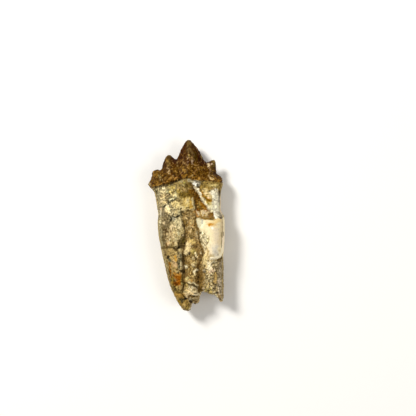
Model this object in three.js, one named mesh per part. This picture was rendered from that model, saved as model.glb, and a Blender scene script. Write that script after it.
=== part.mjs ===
// Fossil cheek tooth of an early whale, lying on its side: a serrated blade of a crown over two
// long roots that grew together, with the rock that filled the hollow between them.
//
// Millimetres, +Z up. The tooth lies along Y with the crown towards +Y, and X runs across it.
// The origin is on the resting plane, under the middle of the outline.
//
// The tooth grew as one piece, so it is one closed surface. Four curves draw its outline. A grid
// spans the outline, and each grid point is lifted to the upper face and lowered to the lower
// face. The two faces share the grid's rim, which is the tooth's silhouette seen from above.

import * as THREE from "three";
import { ParametricGeometry } from "three/addons/geometries/ParametricGeometry.js";
import { mergeGeometries, mergeVertices } from "three/addons/utils/BufferGeometryUtils.js";

// ---------------------------------------------------------------- driving dimensions

const UPPER_FACE = 8.7; // height of the upper face above the tooth's middle plane, at its fullest
const LOWER_FACE = 8.3; // depth of the lower face below it
const WORN_FLAT = 0.45; // how much of the lower face is worn away where the tooth rests

const ROUND = 0.5; // roll-over exponent of the root, an ellipse in section
const KEEN = 0.85; // roll-over exponent of the crown, which comes to an edge
const ROUND_UNTIL = 19; // the root keeps its round section up to this y
const KEEN_FROM = 25; // and the crown is a blade from this y on

const GIRDLE_WIDTH = 1.15; // ridge around the foot of the crown
const GIRDLE_HEIGHT = 0.75;
const GIRDLE_LIFT = 0.9; // how far the girdle's crest stands above the end of the enamel

const SOFT_EDGE = 0.7; // half width of the slope at a flaked or broken edge

// ---------------------------------------------------------------- the outline

// Each outline point is x, y and the distance over which the faces roll over to the rim there.
const ROOT_CORNER = [-2.3, -41.5, 2];
const SPUR_TIP = [18.0, -37.9, 3.0];
const LEFT_SHOULDER = [-17.3, 26.75, 11];
const RIGHT_SHOULDER = [17.8, 23.5, 10];

const LEFT_SIDE = [
  ROOT_CORNER,
  [-3.5, -40.1, 2.6],
  [-4.9, -37.6, 3.8],
  [-6.2, -35.25, 5],
  [-7.4, -32.75, 6.5],
  [-8.7, -28.75, 7.5],
  [-10.7, -20.75, 8.2],
  [-12.7, -13.0, 8.6],
  [-13.9, -5.5, 8.8],
  [-14.4, 1.0, 8.6],
  [-14.2, 4.75, 8.2],
  [-14.6, 8.5, 8.2],
  [-15.6, 14.25, 8.2],
  [-16.3, 16.6, 8.2],
  [-17.2, 17.8, 8.4],
  [-18.2, 18.9, 8.8],
  [-19.2, 20.4, 9],
  [-18.5, 22.0, 9.5],
  [-17.8, 23.75, 10],
  LEFT_SHOULDER,
];

const RIGHT_SIDE = [
  SPUR_TIP,
  [18.5, -36.3, 4.5],
  [18.6, -32.5, 6.5],
  [18.5, -27, 8],
  [18.4, -20.5, 8.6],
  [18.45, -15.5, 8.8],
  [18.85, -11.5, 8.8],
  [19.15, -6, 8.8],
  [19.2, -1, 8.6],
  [19.0, 3.3, 8.2],
  [18.1, 5.6, 7.8],
  [17.25, 7.2, 7.6],
  [17.35, 11.25, 7.6],
  [17.15, 15.75, 7.8],
  [17.5, 18.4, 8.2],
  [18.15, 20.7, 9],
  RIGHT_SHOULDER,
];

const CUTTING_EDGE = [
  LEFT_SHOULDER,
  [-16.2, 27.6, 12],
  [-14.7, 28.0, 12],
  [-13.3, 27.6, 12],
  [-12.6, 28.3, 12],
  [-12.0, 30.6, 12],
  [-11.2, 33.0, 12],
  [-10.2, 34.6, 12],
  [-9.0, 35.2, 12],
  [-7.7, 34.9, 12],
  [-6.4, 33.9, 12],
  [-5.3, 33.2, 12],
  [-4.4, 34.5, 12],
  [-3.5, 36.6, 12],
  [-2.3, 39.0, 12],
  [-1.1, 41.1, 12],
  [-0.1, 42.35, 12],
  [1.1, 42.85, 12],
  [2.4, 42.2, 12],
  [3.7, 40.8, 12],
  [5.3, 38.7, 12],
  [6.9, 36.3, 12],
  [8.1, 34.0, 12],
  [9.0, 32.2, 12],
  [10.1, 31.5, 12],
  [11.4, 31.8, 12],
  [12.8, 32.6, 12],
  [13.9, 32.7, 12],
  [14.5, 31.6, 12],
  [14.7, 29.5, 12],
  [14.85, 27.4, 12],
  [15.2, 25.8, 12],
  [16.1, 25.2, 12],
  [17.1, 24.6, 11],
  RIGHT_SHOULDER,
];

const BROKEN_END = [
  ROOT_CORNER,
  [-0.9, -42.5, 2],
  [0.6, -42.85, 1.5],
  [1.8, -42.1, 1.8],
  [2.25, -40.75, 1.6],
  [2.5, -39.3, 1.5],
  [3.2, -38.8, 1.5],
  [4.6, -39.0, 1.5],
  [5.9, -38.4, 1.5],
  [6.5, -36.8, 1.5],
  [6.8, -35.0, 1.5],
  [7.5, -33.6, 1.5],
  [8.8, -33.1, 1.5],
  [10.3, -33.8, 1.5],
  [11.8, -34.6, 1.5],
  [13.6, -34.8, 1.5],
  [14.7, -35.8, 1.5],
  [15.8, -36.9, 1.5],
  [17.1, -37.7, 2.4],
  SPUR_TIP,
];

// ---------------------------------------------------------------- small helpers

const clamp01 = (v) => Math.min(1, Math.max(0, v));
const bell = (v) => Math.exp(-v * v);

function smooth(from, to, v) {
  const share = clamp01((v - from) / (to - from));
  return share * share * (3 - 2 * share);
}

// A value read off a list of [y, value] pairs and eased between them. A plain number is itself.
function graded(pairs, y) {
  if (typeof pairs === "number") return pairs;
  for (let i = 1; i < pairs.length; i++) {
    const [low, high] = [pairs[i - 1], pairs[i]];
    if (y <= high[0]) return low[1] + (high[1] - low[1]) * smooth(low[0], high[0], y);
  }
  return pairs.at(-1)[1];
}

function distanceTo(chain, x, y) {
  let least = Infinity;
  for (let i = 1; i < chain.length; i++) {
    const [[ax, ay], [bx, by]] = [chain[i - 1], chain[i]];
    const [dx, dy] = [bx - ax, by - ay];
    const share = clamp01(((x - ax) * dx + (y - ay) * dy) / (dx * dx + dy * dy));
    least = Math.min(least, Math.hypot(x - ax - share * dx, y - ay - share * dy));
  }
  return least;
}

// ---------------------------------------------------------------- relief features

// A ridge, or a furrow when its height is negative, that follows a chain of points.
const ridge = (chain, width, height) => (x, y) =>
  graded(height, y) * bell(distanceTo(chain, x, y) / width);

// A patch that stands proud of its surroundings, or is sunk into them, with a short slope round it.
function patch(corners, height, edge = SOFT_EDGE) {
  const ring = [...corners, corners[0]];
  return (x, y) => {
    let inside = false;
    for (let i = 1; i < ring.length; i++) {
      const [[ax, ay], [bx, by]] = [ring[i - 1], ring[i]];
      if (ay > y !== by > y && x < ax + ((y - ay) * (bx - ax)) / (by - ay)) inside = !inside;
    }
    const reach = distanceTo(ring, x, y) * (inside ? 1 : -1);
    return height * smooth(-edge, edge, reach);
  };
}

const total = (features, x, y) => features.reduce((sum, feature) => sum + feature(x, y), 0);

// The line where the enamel of the crown ends.
const ENAMEL_END = [
  [-18.6, 18.3],
  [-14.5, 19.4],
  [-9.5, 20.6],
  [-5.0, 22.2],
  [-1.5, 23.2],
  [1.5, 23.0],
  [6, 22.4],
  [12, 22.2],
  [18.4, 21.2],
];
const GIRDLE = ENAMEL_END.map(([x, y]) => [x, y + GIRDLE_LIFT]);

// Both faces of the crown: a rib down each cusp, a fold below each notch, the girdle at its foot.
const CROWN_RELIEF = [
  ridge(GIRDLE, GIRDLE_WIDTH, GIRDLE_HEIGHT),
  ridge([[1.1, 42], [1.3, 34], [0.8, 26]], 1.7, 0.75),
  ridge([[-9.0, 34.6], [-9.2, 30], [-8.6, 24]], 1.6, 0.95),
  ridge([[-14.9, 27.6], [-14.6, 24.5], [-13.6, 22]], 1.5, 0.75),
  ridge([[13.6, 32], [11.3, 28.3], [12.8, 24]], 1.4, 0.85),
  ridge([[-4.6, 33.4], [-4.0, 28], [-3.4, 25]], 1.2, -0.6),
  ridge([[9.9, 31.4], [8.2, 27], [7.6, 24.5]], 1.3, -0.55),
  ridge([[-12.6, 28.0], [-11.9, 25], [-11.4, 23]], 1, -0.5),
];

const UPPER_RELIEF = [
  ...CROWN_RELIEF,
  // The hollow between the two roots and the rock that half fills it.
  ridge(
    [[0.9, 21.5], [3.4, 12], [4.2, 3], [3.4, -8], [2.9, -20], [3.4, -32], [4.2, -40]],
    5.4,
    [[-43, -2.6], [-20, -3.2], [0, -2.7], [12, -1.7], [20, -1.0], [24, 0]],
  ),
  ridge(
    [[3.2, -5], [2.5, -13], [3.2, -20], [3.4, -30], [3.6, -38]],
    2.4,
    [[-43, 2.4], [-26, 2.2], [-12, 1.9], [-4, 0.6], [0, 0]],
  ),
  // A cleft on each side of the rock.
  ridge(
    [[-1.3, 4], [-0.9, -5], [-1.1, -18], [-1.1, -30], [0.2, -37]],
    1.1,
    [[-43, -1.0], [-24, -1.0], [-6, -0.8], [4, -0.4], [6, 0]],
  ),
  ridge(
    [[5.0, 3], [6.6, -3.5], [8.6, -12], [6.6, -20], [6.1, -27], [6.7, -34]],
    1.2,
    [[-43, -1.0], [-24, -1.0], [-6, -0.8], [4, -0.3], [6, 0]],
  ),
  // Right root: the surface flaked off in a wedge, the worn neck, and the plate that is whole.
  patch([[3.4, 19.6], [5.4, 18.8], [9.6, 11.4], [12.6, 5], [13.9, 3.1], [4.9, 3.3], [3.8, 10]], -1.1),
  patch([[6, 20], [12, 21], [22, 21], [22, 3.6], [13.9, 3.2], [9.6, 11.4]], -0.75, 1.0),
  patch(
    [
      [5.0, 3.2],
      [9, 2.7],
      [14.4, 2.5],
      [16.4, 3.2],
      [22, 4.4],
      [22, -14.5],
      [17, -16.2],
      [11.6, -16.6],
      [10, -13],
      [9.6, -8],
      [6.8, -3.4],
      [5.3, -1.4],
    ],
    0.75,
  ),
  // Left root: a sunken field below a crack across the root, and a second crack lower down.
  patch([[-15, 5.2], [-9, 4.2], [-7.2, 3.2], [-7.6, -3], [-9.5, -9], [-13, -9], [-15, -2]], -0.7, 0.9),
  ridge([[-15, 5], [-10.5, 4.4], [-7.5, 4], [-6.6, 5.2], [-4, 4.6], [-1.6, 6.2]], 0.8, -0.7),
  ridge([[-14, -11.3], [-8, -11.3], [-5.5, -12.4], [-3, -10]], 0.8, -0.45),
  // The knob of rock at the tip of the left root.
  ridge([[0.6, -39], [0.2, -40.5]], 2.2, 1.1),
];

const LOWER_RELIEF = [
  ...CROWN_RELIEF,
  // The hollow between the roots is plainer here, and an old break crosses them.
  ridge(
    [[0.6, 20], [1.6, 8], [2.2, -6], [3.0, -20], [4.4, -36]],
    4.6,
    [[-43, -3.0], [-15, -3.4], [4, -2.8], [16, -1.2], [22, 0]],
  ),
  ridge([[-16, 3.5], [-7, 4.4], [-1, 2.6], [6, 3.6], [12, 2.2], [20, 3.6]], 0.9, -0.6),
];

// Share of the full height that each face has along the tooth.
const UPPER_FULLNESS = [[-43, 0.56], [-30, 0.82], [-12, 0.97], [2, 1.0], [14, 0.9], [19, 0.82], [30, 0.74]];
const LOWER_FULLNESS = [[-43, 0.58], [-30, 0.84], [-14, 0.98], [4, 1.0], [14, 0.93], [19, 0.84], [30, 0.74]];

const upperHeight = (x, y) => UPPER_FACE * graded(UPPER_FULLNESS, y) + total(UPPER_RELIEF, x, y);
const lowerHeight = (x, y) => LOWER_FACE * graded(LOWER_FULLNESS, y) + total(LOWER_RELIEF, x, y);

// ---------------------------------------------------------------- the rim and how the faces meet it

const curveOf = (points) => new THREE.CatmullRomCurve3(points.map((p) => new THREE.Vector3(...p)), false);

const leftSide = curveOf(LEFT_SIDE);
const rightSide = curveOf(RIGHT_SIDE);
const cuttingEdge = curveOf(CUTTING_EDGE);
const brokenEnd = curveOf(BROKEN_END);

const STRETCHES = 70; // straight stretches that stand for each of the four curves
const rim = [leftSide, cuttingEdge, rightSide, brokenEnd].flatMap((curve) => {
  const points = curve.getSpacedPoints(STRETCHES);
  return points.slice(1).map((end, i) => {
    const start = points[i];
    const length = Math.hypot(end.x - start.x, end.y - start.y);
    return { start, length, ux: (end.x - start.x) / length, uy: (end.y - start.y) / length, roll: end.z };
  });
});

// How far inside the outline a point is, as a share of the roll-over distance, up to 1. Every
// stretch of the rim adds its closeness squared (the integral of one over distance cubed along
// it), so the share stays smooth where two sides are equally near.
const LEAST_ASIDE = 1e-3; // keeps the sum finite for a point in line with a stretch
function inward(x, y) {
  let closeness = 0;
  for (const { start, length, ux, uy, roll } of rim) {
    const near = (start.x - x) * ux + (start.y - y) * uy;
    const far = near + length;
    const aside = Math.max(Math.abs((x - start.x) * uy - (y - start.y) * ux), LEAST_ASIDE);
    const span = far / Math.hypot(aside, far) - near / Math.hypot(aside, near);
    closeness += (roll * roll * span) / (2 * aside * aside);
  }
  return Math.min(1, 1 / Math.sqrt(closeness));
}

// The right root is broken open at its end, which shows the pulp hollow inside it.
const PULP_HOLLOW = { x: 12.2, z: 0.4, halfWidth: 4.6, halfHeight: 4.3, depth: 4.2 };
const HOLLOW_REACH = 8; // the hollow is cut only this near to the broken end

function pushedIn(x, y, z, endY) {
  const across = (x - PULP_HOLLOW.x) / PULP_HOLLOW.halfWidth;
  const up = (z - PULP_HOLLOW.z) / PULP_HOLLOW.halfHeight;
  const dish = Math.max(0, 1 - across * across - up * up) ** 2;
  const fade = 1 - smooth(HOLLOW_REACH / 2, HOLLOW_REACH, y - endY);
  return y + fade * PULP_HOLLOW.depth * dish;
}

// ---------------------------------------------------------------- the grid

// Rows from the broken end to the cutting edge as [share of the way up, number of rows to it]. They
// crowd in the end face, over the edge of the plate and in the crown.
const ROW_ZONES = [
  [0.003, 2],
  [0.012, 2],
  [0.036, 3],
  [0.6, 18],
  [0.68, 6],
  [0.86, 7],
  [1, 14],
];
const rows = ROW_ZONES.reduce(
  (list, [end, count]) => {
    const start = list.at(-1);
    const step = (end - start) / count;
    return list.concat(Array.from({ length: count }, (_, i) => start + step * (i + 1)));
  },
  [0],
);

// Columns are evenly spaced in the middle and crowd towards each side, where the faces roll over.
const COLUMNS = 48;
const CROWDED = 0.16; // share of the columns that crowd, at each side
const CLOSEST = 0.25; // spacing at the rim against the spacing in the middle

function spacedRun(columns) {
  const crowded = Math.min(columns, CROWDED);
  return columns - (1 - CLOSEST) * (crowded - (crowded * crowded) / (2 * CROWDED));
}

function columnAt(u) {
  const half = spacedRun(0.5);
  return u < 0.5 ? spacedRun(u) / half / 2 : 1 - spacedRun(1 - u) / half / 2;
}

// The outline's four curves blended into a grid: straight rows between the two sides, bent
// towards the broken end and the cutting edge as they come near them.
const END_BEND = 6;
const CROWN_BEND = 7;

function gridPoint(s, t) {
  const [left, right] = [leftSide.getPointAt(t), rightSide.getPointAt(t)];
  const [end, edge] = [brokenEnd.getPointAt(s), cuttingEdge.getPointAt(s)];
  const between = (from, to, axis) => from[axis] * (1 - s) + to[axis] * s;
  const blend = (axis) =>
    between(left, right, axis) +
    (1 - t) ** END_BEND * (end[axis] - between(leftSide.points[0], rightSide.points[0], axis)) +
    t ** CROWN_BEND * (edge[axis] - between(leftSide.points.at(-1), rightSide.points.at(-1), axis));
  return { x: blend("x"), y: blend("y"), endY: end.y };
}

function face(height, side) {
  return new ParametricGeometry(
    (u, v, target) => {
      const t = rows[Math.round(v * (rows.length - 1))];
      const { x, y, endY } = gridPoint(columnAt(side > 0 ? u : 1 - u), t);
      const onRim = u === 0 || u === 1 || v === 0 || v === 1;
      const share = onRim ? 0 : inward(x, y);
      const exponent = ROUND + (KEEN - ROUND) * smooth(ROUND_UNTIL, KEEN_FROM, y);
      const rolled = side * height(x, y) * (share * (2 - share)) ** exponent;
      const z = Math.max(rolled, WORN_FLAT - LOWER_FACE);
      target.set(x, pushedIn(x, y, z, endY), z);
    },
    COLUMNS,
    rows.length - 1,
  );
}

function toothGeometry() {
  const faces = [face(upperHeight, 1), face(lowerHeight, -1)];
  faces.forEach((sheet) => sheet.deleteAttribute("normal").deleteAttribute("uv"));
  const closed = mergeVertices(mergeGeometries(faces), 1e-4);
  closed.computeBoundingBox();
  const { min, max } = closed.boundingBox;
  closed.translate(-(min.x + max.x) / 2, -(min.y + max.y) / 2, -min.z);
  closed.computeVertexNormals();
  return closed;
}

// ---------------------------------------------------------------- the part

const fossil = new THREE.MeshStandardMaterial({ color: 0xc9b184, roughness: 0.6, metalness: 0 });

const tooth = new THREE.Mesh(toothGeometry(), fossil);
tooth.name = "tooth";

const part = new THREE.Group();
part.add(tooth);

export default part;
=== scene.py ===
# %% [markdown]
# # A fossil whale tooth
#
# Forty million years ago an early whale cut its prey with cheek teeth like this one. The crown is
# a row of keen cusps in dark enamel. Two long roots held it in the jaw, and they grew so close
# that only a hollow parts them. The sea floor filled that hollow with sand, which turned to rock.
# Then the roots cracked, flaked and broke off at the ends.
#
# This lesson makes the tooth as one closed mesh. Numpy works out the surface, the cracks and the
# stains, and Blender's shader adds the finest grain. Authoring sizes are in millimetres, and the
# mesh goes into the scene in metres.

# %% The frame that the tooth has to fit
import math

import bpy
import numpy as np
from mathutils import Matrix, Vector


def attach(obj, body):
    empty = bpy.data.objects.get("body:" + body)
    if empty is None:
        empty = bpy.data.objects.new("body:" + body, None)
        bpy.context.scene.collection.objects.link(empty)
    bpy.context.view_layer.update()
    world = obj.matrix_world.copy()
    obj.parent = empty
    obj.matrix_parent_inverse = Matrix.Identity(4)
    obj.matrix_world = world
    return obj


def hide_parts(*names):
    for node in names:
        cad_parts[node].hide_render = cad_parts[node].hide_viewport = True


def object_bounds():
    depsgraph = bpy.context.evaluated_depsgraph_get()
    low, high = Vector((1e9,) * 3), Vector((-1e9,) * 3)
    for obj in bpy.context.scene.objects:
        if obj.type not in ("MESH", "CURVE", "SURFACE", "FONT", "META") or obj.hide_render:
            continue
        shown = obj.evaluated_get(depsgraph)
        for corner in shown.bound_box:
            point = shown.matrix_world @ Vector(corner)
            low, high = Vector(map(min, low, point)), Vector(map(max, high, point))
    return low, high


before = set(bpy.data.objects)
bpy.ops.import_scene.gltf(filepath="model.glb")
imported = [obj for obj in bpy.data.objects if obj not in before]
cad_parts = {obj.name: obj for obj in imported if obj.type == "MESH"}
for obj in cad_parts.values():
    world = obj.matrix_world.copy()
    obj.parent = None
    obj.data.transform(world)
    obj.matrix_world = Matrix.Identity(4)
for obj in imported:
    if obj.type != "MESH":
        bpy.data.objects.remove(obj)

MM = 0.001
CAD_BOX = [list(map(float, corner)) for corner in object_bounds()]
LOW, HIGH = (np.array(corner) / MM for corner in CAD_BOX)
print("the tooth lies in a box of", np.round(HIGH - LOW, 1), "mm")

# %% [markdown]
# ## A few small helpers
#
# Nearly every shape below is an ease from one value to another or a distance to a line. Working
# on whole arrays keeps them fast: one call handles every point of the surface at once.

# %% Eases and distances
TINY = 1e-9


def smooth(low, high, value):
    """0 up to low, 1 from high on, and between them the S-shaped ease 3s^2 - 2s^3 of the share s.
    With low above high it falls instead."""
    share = np.clip((value - low) / (high - low), 0, 1)
    return share * share * (3 - 2 * share)


def bell(value, width):
    """1 where the value is 0, falling off to each side as exp(-(value / width)^2)."""
    return np.exp(-((value / width) ** 2))


def unit(vectors):
    """Each vector divided by its length, or by a tiny length where it has none."""
    return vectors / np.maximum(np.linalg.norm(vectors, axis=-1, keepdims=True), TINY)


def graded(stops, y):
    """A value eased between (y, value) stops. A plain number stands for itself."""
    if np.isscalar(stops):
        return stops
    at, value = np.array(stops, float).T
    k = np.clip(np.searchsorted(at, y) - 1, 0, len(at) - 2)
    return value[k] + (value[k + 1] - value[k]) * smooth(at[k], at[k + 1], y)


def distance_to(chain, x, y):
    """The distance from each point to the nearest stretch of a chain: the point is dropped square
    onto the stretch, and held at its ends."""
    if len(chain) == 1:
        return np.hypot(x - chain[0][0], y - chain[0][1])
    least = np.full(np.shape(x), np.inf)
    for (ax, ay), (bx, by) in zip(chain[:-1], chain[1:]):
        dx, dy = bx - ax, by - ay
        share = np.clip(((x - ax) * dx + (y - ay) * dy) / (dx * dx + dy * dy), 0, 1)
        least = np.minimum(least, np.hypot(x - ax - share * dx, y - ay - share * dy))
    return least


def inside(ring, x, y):
    """True where a line to the right of the point crosses the ring an odd number of times."""
    odd = np.zeros(np.shape(x), bool)
    for (ax, ay), (bx, by) in zip(ring[:-1], ring[1:]):
        if ay != by:
            odd ^= ((ay > y) != (by > y)) & (x < ax + (y - ay) * (bx - ax) / (by - ay))
    return odd


print("a quarter of the way, the ease has come", smooth(0, 1, 0.25))

# %% [markdown]
# ## Two kinds of randomness
#
# Stone is never even. *Clouds* are soft: random numbers sit on a cubic lattice, and each point
# blends the eight round it. *Grains* are hard: each cube of the lattice holds one seed, and each
# point asks how far its nearest seeds are. Grains make pebbles, pits and, where two seeds are
# equally near, cracks. Both work in space and not on the mesh, so nothing stretches on the sides.

# %% Clouds and grains
LATTICE = 48  # cubes along each side before the pattern repeats
LAYERED = 0.6  # brings three layers added up back to about -1 to 1
FARTHEST = 9.0  # cubes, more than any nearest seed can be away


def cloud(points, size, seed):
    """Soft noise from -1 to 1. Each of the eight lattice numbers round a point is weighed by how
    near it is along X, Y and Z, with the ease 3s^2 - 2s^3."""
    numbers = np.random.default_rng(seed).uniform(-1, 1, (LATTICE,) * 3)
    place = points / size
    cell = np.floor(place).astype(int)
    part = smooth(0, 1, place - cell)
    total = 0
    for corner in np.ndindex(2, 2, 2):
        weight = np.where(corner, part, 1 - part).prod(-1)
        i, j, k = np.moveaxis((cell + corner) % LATTICE, -1, 0)
        total = total + weight * numbers[i, j, k]
    return total


def clouds(points, size, seed, layers=3):
    """Layers of cloud added up, each at half the size and half the strength of the one before."""
    size = np.asarray(size, float)
    return sum(cloud(points, size / 2**k, seed + k) / 2**k for k in range(layers)) * LAYERED


def uneven(points, amount, seed, noise=clouds):
    """Noise by an amount: how far it goes to each side of 0, and over what length. With three
    seeds it is a push along X, Y and Z, each with noise of its own."""
    far, length = amount
    if np.isscalar(seed):
        return far * noise(points, length, seed)
    return far * np.stack([noise(points, length, own) for own in seed], -1)


def grains(points, size, seed):
    """For each point: distance to the nearest seed, extra distance to the second nearest, both in
    lattice cells, and a random number from -1 to 1 that belongs to the nearest."""
    draw = np.random.default_rng(seed)
    jitter = draw.uniform(0, 1, (LATTICE, LATTICE, LATTICE, 3))
    tone = draw.uniform(-1, 1, (LATTICE,) * 3)
    place = points / np.asarray(size, float)
    cell = np.floor(place).astype(int)
    first = np.full(place.shape[:-1], FARTHEST)
    second = first.copy()
    own = np.zeros_like(first)
    for step in np.ndindex(3, 3, 3):
        corner = cell + step - 1
        i, j, k = np.moveaxis(corner % LATTICE, -1, 0)
        gap = np.linalg.norm(place - corner - jitter[i, j, k], axis=-1)
        own = np.where(gap < first, tone[i, j, k], own)
        second = np.minimum(second, np.maximum(first, gap))
        first = np.minimum(first, gap)
    return first, second - first, own


sample = np.random.default_rng(0).uniform(0, 50, (1000, 3))
print("clouds over 1000 places reach", np.round(np.ptp(clouds(sample, 4, seed=1)), 2))

# %% [markdown]
# ## The outline
#
# Seen from above, the tooth is a closed outline of four curves: two sides, the cutting edge with
# its cusps, and the broken end of the roots. Each point carries a third number, the distance over
# which the faces roll over to the rim there: far on the flat crown, near at a fresh break.

# %% Four curves
ROOT_CORNER = (-2.3, -41.5, 2)
SPUR_TIP = (18.0, -37.9, 3)
LEFT_SHOULDER = (-17.3, 26.75, 11)
RIGHT_SHOULDER = (17.8, 23.5, 10)

LEFT_SIDE = [
    ROOT_CORNER, (-3.5, -40.1, 2.6), (-4.9, -37.6, 3.8), (-6.2, -35.25, 5), (-7.4, -32.75, 6.5),
    (-8.7, -28.75, 7.5), (-10.7, -20.75, 8.2), (-12.7, -13, 8.6), (-13.9, -5.5, 8.8),
    (-14.4, 1, 8.6), (-14.2, 4.75, 8.2), (-14.6, 8.5, 8.2), (-15.6, 14.25, 8.2),
    (-16.3, 16.6, 8.2), (-17.2, 17.8, 8.4), (-18.2, 18.9, 8.8), (-19.2, 20.4, 9),
    (-18.5, 22, 9.5), (-17.8, 23.75, 10), LEFT_SHOULDER,
]
RIGHT_SIDE = [
    SPUR_TIP, (18.5, -36.3, 4.5), (18.6, -32.5, 6.5), (18.5, -27, 8), (18.4, -20.5, 8.6),
    (18.45, -15.5, 8.8), (18.85, -11.5, 8.8), (19.15, -6, 8.8), (19.2, -1, 8.6), (19, 3.3, 8.2),
    (18.1, 5.6, 7.8), (17.25, 7.2, 7.6), (17.35, 11.25, 7.6), (17.15, 15.75, 7.8),
    (17.5, 18.4, 8.2), (18.15, 20.7, 9), RIGHT_SHOULDER,
]
BLADE_ROLL = 12  # how far the faces roll over at the cutting edge
CUSPS = [
    (-16.2, 27.6), (-14.7, 28), (-13.3, 27.6), (-12.6, 28.3), (-12, 30.6), (-11.2, 33),
    (-10.2, 34.6), (-9, 35.2), (-7.7, 34.9), (-6.4, 33.9), (-5.3, 33.2), (-4.4, 34.5),
    (-3.5, 36.6), (-2.3, 39), (-1.1, 41.1), (-0.1, 42.35), (1.1, 42.85), (2.4, 42.2),
    (3.7, 40.8), (5.3, 38.7), (6.9, 36.3), (8.1, 34), (9, 32.2), (10.1, 31.5), (11.4, 31.8),
    (12.8, 32.6), (13.9, 32.7), (14.5, 31.6), (14.7, 29.5), (14.85, 27.4), (15.2, 25.8),
    (16.1, 25.2), (17.1, 24.6),
]
CUTTING_EDGE = [LEFT_SHOULDER, *((x, y, BLADE_ROLL) for x, y in CUSPS), RIGHT_SHOULDER]
BREAK_ROLL = 1.5
BREAK = [
    (-0.9, -42.5), (0.6, -42.85), (1.8, -42.1), (2.25, -40.75), (2.5, -39.3), (3.2, -38.8),
    (4.6, -39), (5.9, -38.4), (6.5, -36.8), (6.8, -35), (7.5, -33.6), (8.8, -33.1),
    (10.3, -33.8), (11.8, -34.6), (13.6, -34.8), (14.7, -35.8), (15.8, -36.9), (17.1, -37.7),
]
BROKEN_END = [ROOT_CORNER, *((x, y, BREAK_ROLL) for x, y in BREAK), SPUR_TIP]


def curve_through(points, steps=16):
    """A smooth chain through the points. Between two of them it is a Hermite curve. Its end slopes
    weigh the neighbouring stretches by the square roots of their lengths, so it can't loop."""
    p = np.array(points, float)
    p = np.vstack([2 * p[0] - p[1], p, 2 * p[-1] - p[-2]])
    a, b, c, d = p[:-3], p[1:-2], p[2:-1], p[3:]
    span = np.sqrt(np.linalg.norm(np.diff(p, axis=0), axis=1))[:, None]
    before, here, after = span[:-2], span[1:-1], span[2:]
    leave = here * ((b - a) / before - (c - a) / (before + here) + (c - b) / here)
    reach = here * ((c - b) / here - (d - b) / (here + after) + (d - c) / after)
    s = np.linspace(0, 1, steps, endpoint=False)[:, None, None]
    parts = (2 * s**3 - 3 * s**2 + 1) * b + (s**3 - 2 * s**2 + s) * leave
    parts = parts + (3 * s**2 - 2 * s**3) * c + (s**3 - s**2) * reach
    return np.vstack([parts.transpose(1, 0, 2).reshape(-1, 3), p[-2]])


def along(chain, share):
    """The points at the given shares of a chain's length."""
    length = np.append(0, np.cumsum(np.linalg.norm(np.diff(chain, axis=0), axis=1)))
    return np.stack([np.interp(share * length[-1], length, axis) for axis in chain.T], -1)


left_side, right_side = curve_through(LEFT_SIDE), curve_through(RIGHT_SIDE)
cutting_edge, broken_end = curve_through(CUTTING_EDGE), curve_through(BROKEN_END)
edge_steps = np.diff(cutting_edge[:, :2], axis=0)
print("the cutting edge is", round(float(np.hypot(*edge_steps.T).sum())), "mm long")

# %% [markdown]
# ## From rim to full height
#
# A pebble's section is round, a blade's comes to an edge. Both start from one number: how far
# inside the outline a point is. The plain distance to the nearest side would leave a crease down
# the middle of each cusp, where two sides are equally near. Adding up the closeness to *all* of
# the rim gives the same value near a side and a smooth one in the middle.

# %% How far inside the outline
STRETCHES = 90  # straight stretches that stand for each curve
LEAST_ASIDE = 1e-3  # keeps the sum finite for a point in line with a stretch


def inward(x, y):
    """A share from 0 on the rim to 1 where the face is at full height. Each stretch of the rim
    adds roll-over^2 / 2 times the integral of 1 / distance^3 along it, and the share is one over
    the square root of the sum."""
    closeness = np.zeros_like(x)
    for curve in (left_side, cutting_edge, right_side, broken_end):
        chain = along(curve, np.linspace(0, 1, STRETCHES + 1))
        for (ax, ay, _), (bx, by, roll) in zip(chain[:-1], chain[1:]):
            length = math.hypot(bx - ax, by - ay)
            ux, uy = (bx - ax) / length, (by - ay) / length
            near = (ax - x) * ux + (ay - y) * uy
            far = near + length
            aside = np.maximum(np.abs((x - ax) * uy - (y - ay) * ux), LEAST_ASIDE)
            span = far / np.hypot(aside, far) - near / np.hypot(aside, near)
            closeness += roll * roll * span / (2 * aside * aside)
    return np.minimum(1, 1 / np.sqrt(closeness))


print("share 5 mm inside the left side:", inward(np.array([-9.4]), np.array([1.0])).round(2))

# %% [markdown]
# ## The relief of the two faces
#
# The tooth's large forms are a few ridges, furrows and patches added to a plain height. A ridge
# follows a chain and falls off to each side like a bell. A patch is a field that stands proud or
# is sunk, with a short slope round it. They match the solid that the physics uses. The finer ones,
# such as small pits and the ribs in the rock, follow below.

# %% Ridges and patches
SOFT_EDGE = 0.7  # width of the slope round a patch, to each side of its corners' line


def ridge(chain, width, height):
    """height times the bell of the distance to the chain. A negative height makes a furrow."""
    return lambda x, y: graded(height, y) * bell(distance_to(chain, x, y), width)


def patch(corners, height, edge=SOFT_EDGE):
    """height inside the corners, 0 outside, eased over one edge width to each side."""
    ring = [*corners, corners[0]]

    def shape(x, y):
        reach = distance_to(ring, x, y) * np.where(inside(ring, x, y), 1, -1)
        return height * smooth(-edge, edge, reach)

    return shape


def total(features, x, y):
    """All the features added up."""
    return sum(feature(x, y) for feature in features)


ENAMEL_END = [
    (-18.6, 18.3), (-14.5, 19.4), (-9.5, 20.6), (-5, 22.2), (-1.5, 23.2), (1.5, 23), (6, 22.4),
    (12, 22.2), (18.4, 21.2),
]
GIRDLE_LIFT = 0.9
GIRDLE = [(x, y + GIRDLE_LIFT) for x, y in ENAMEL_END]

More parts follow.
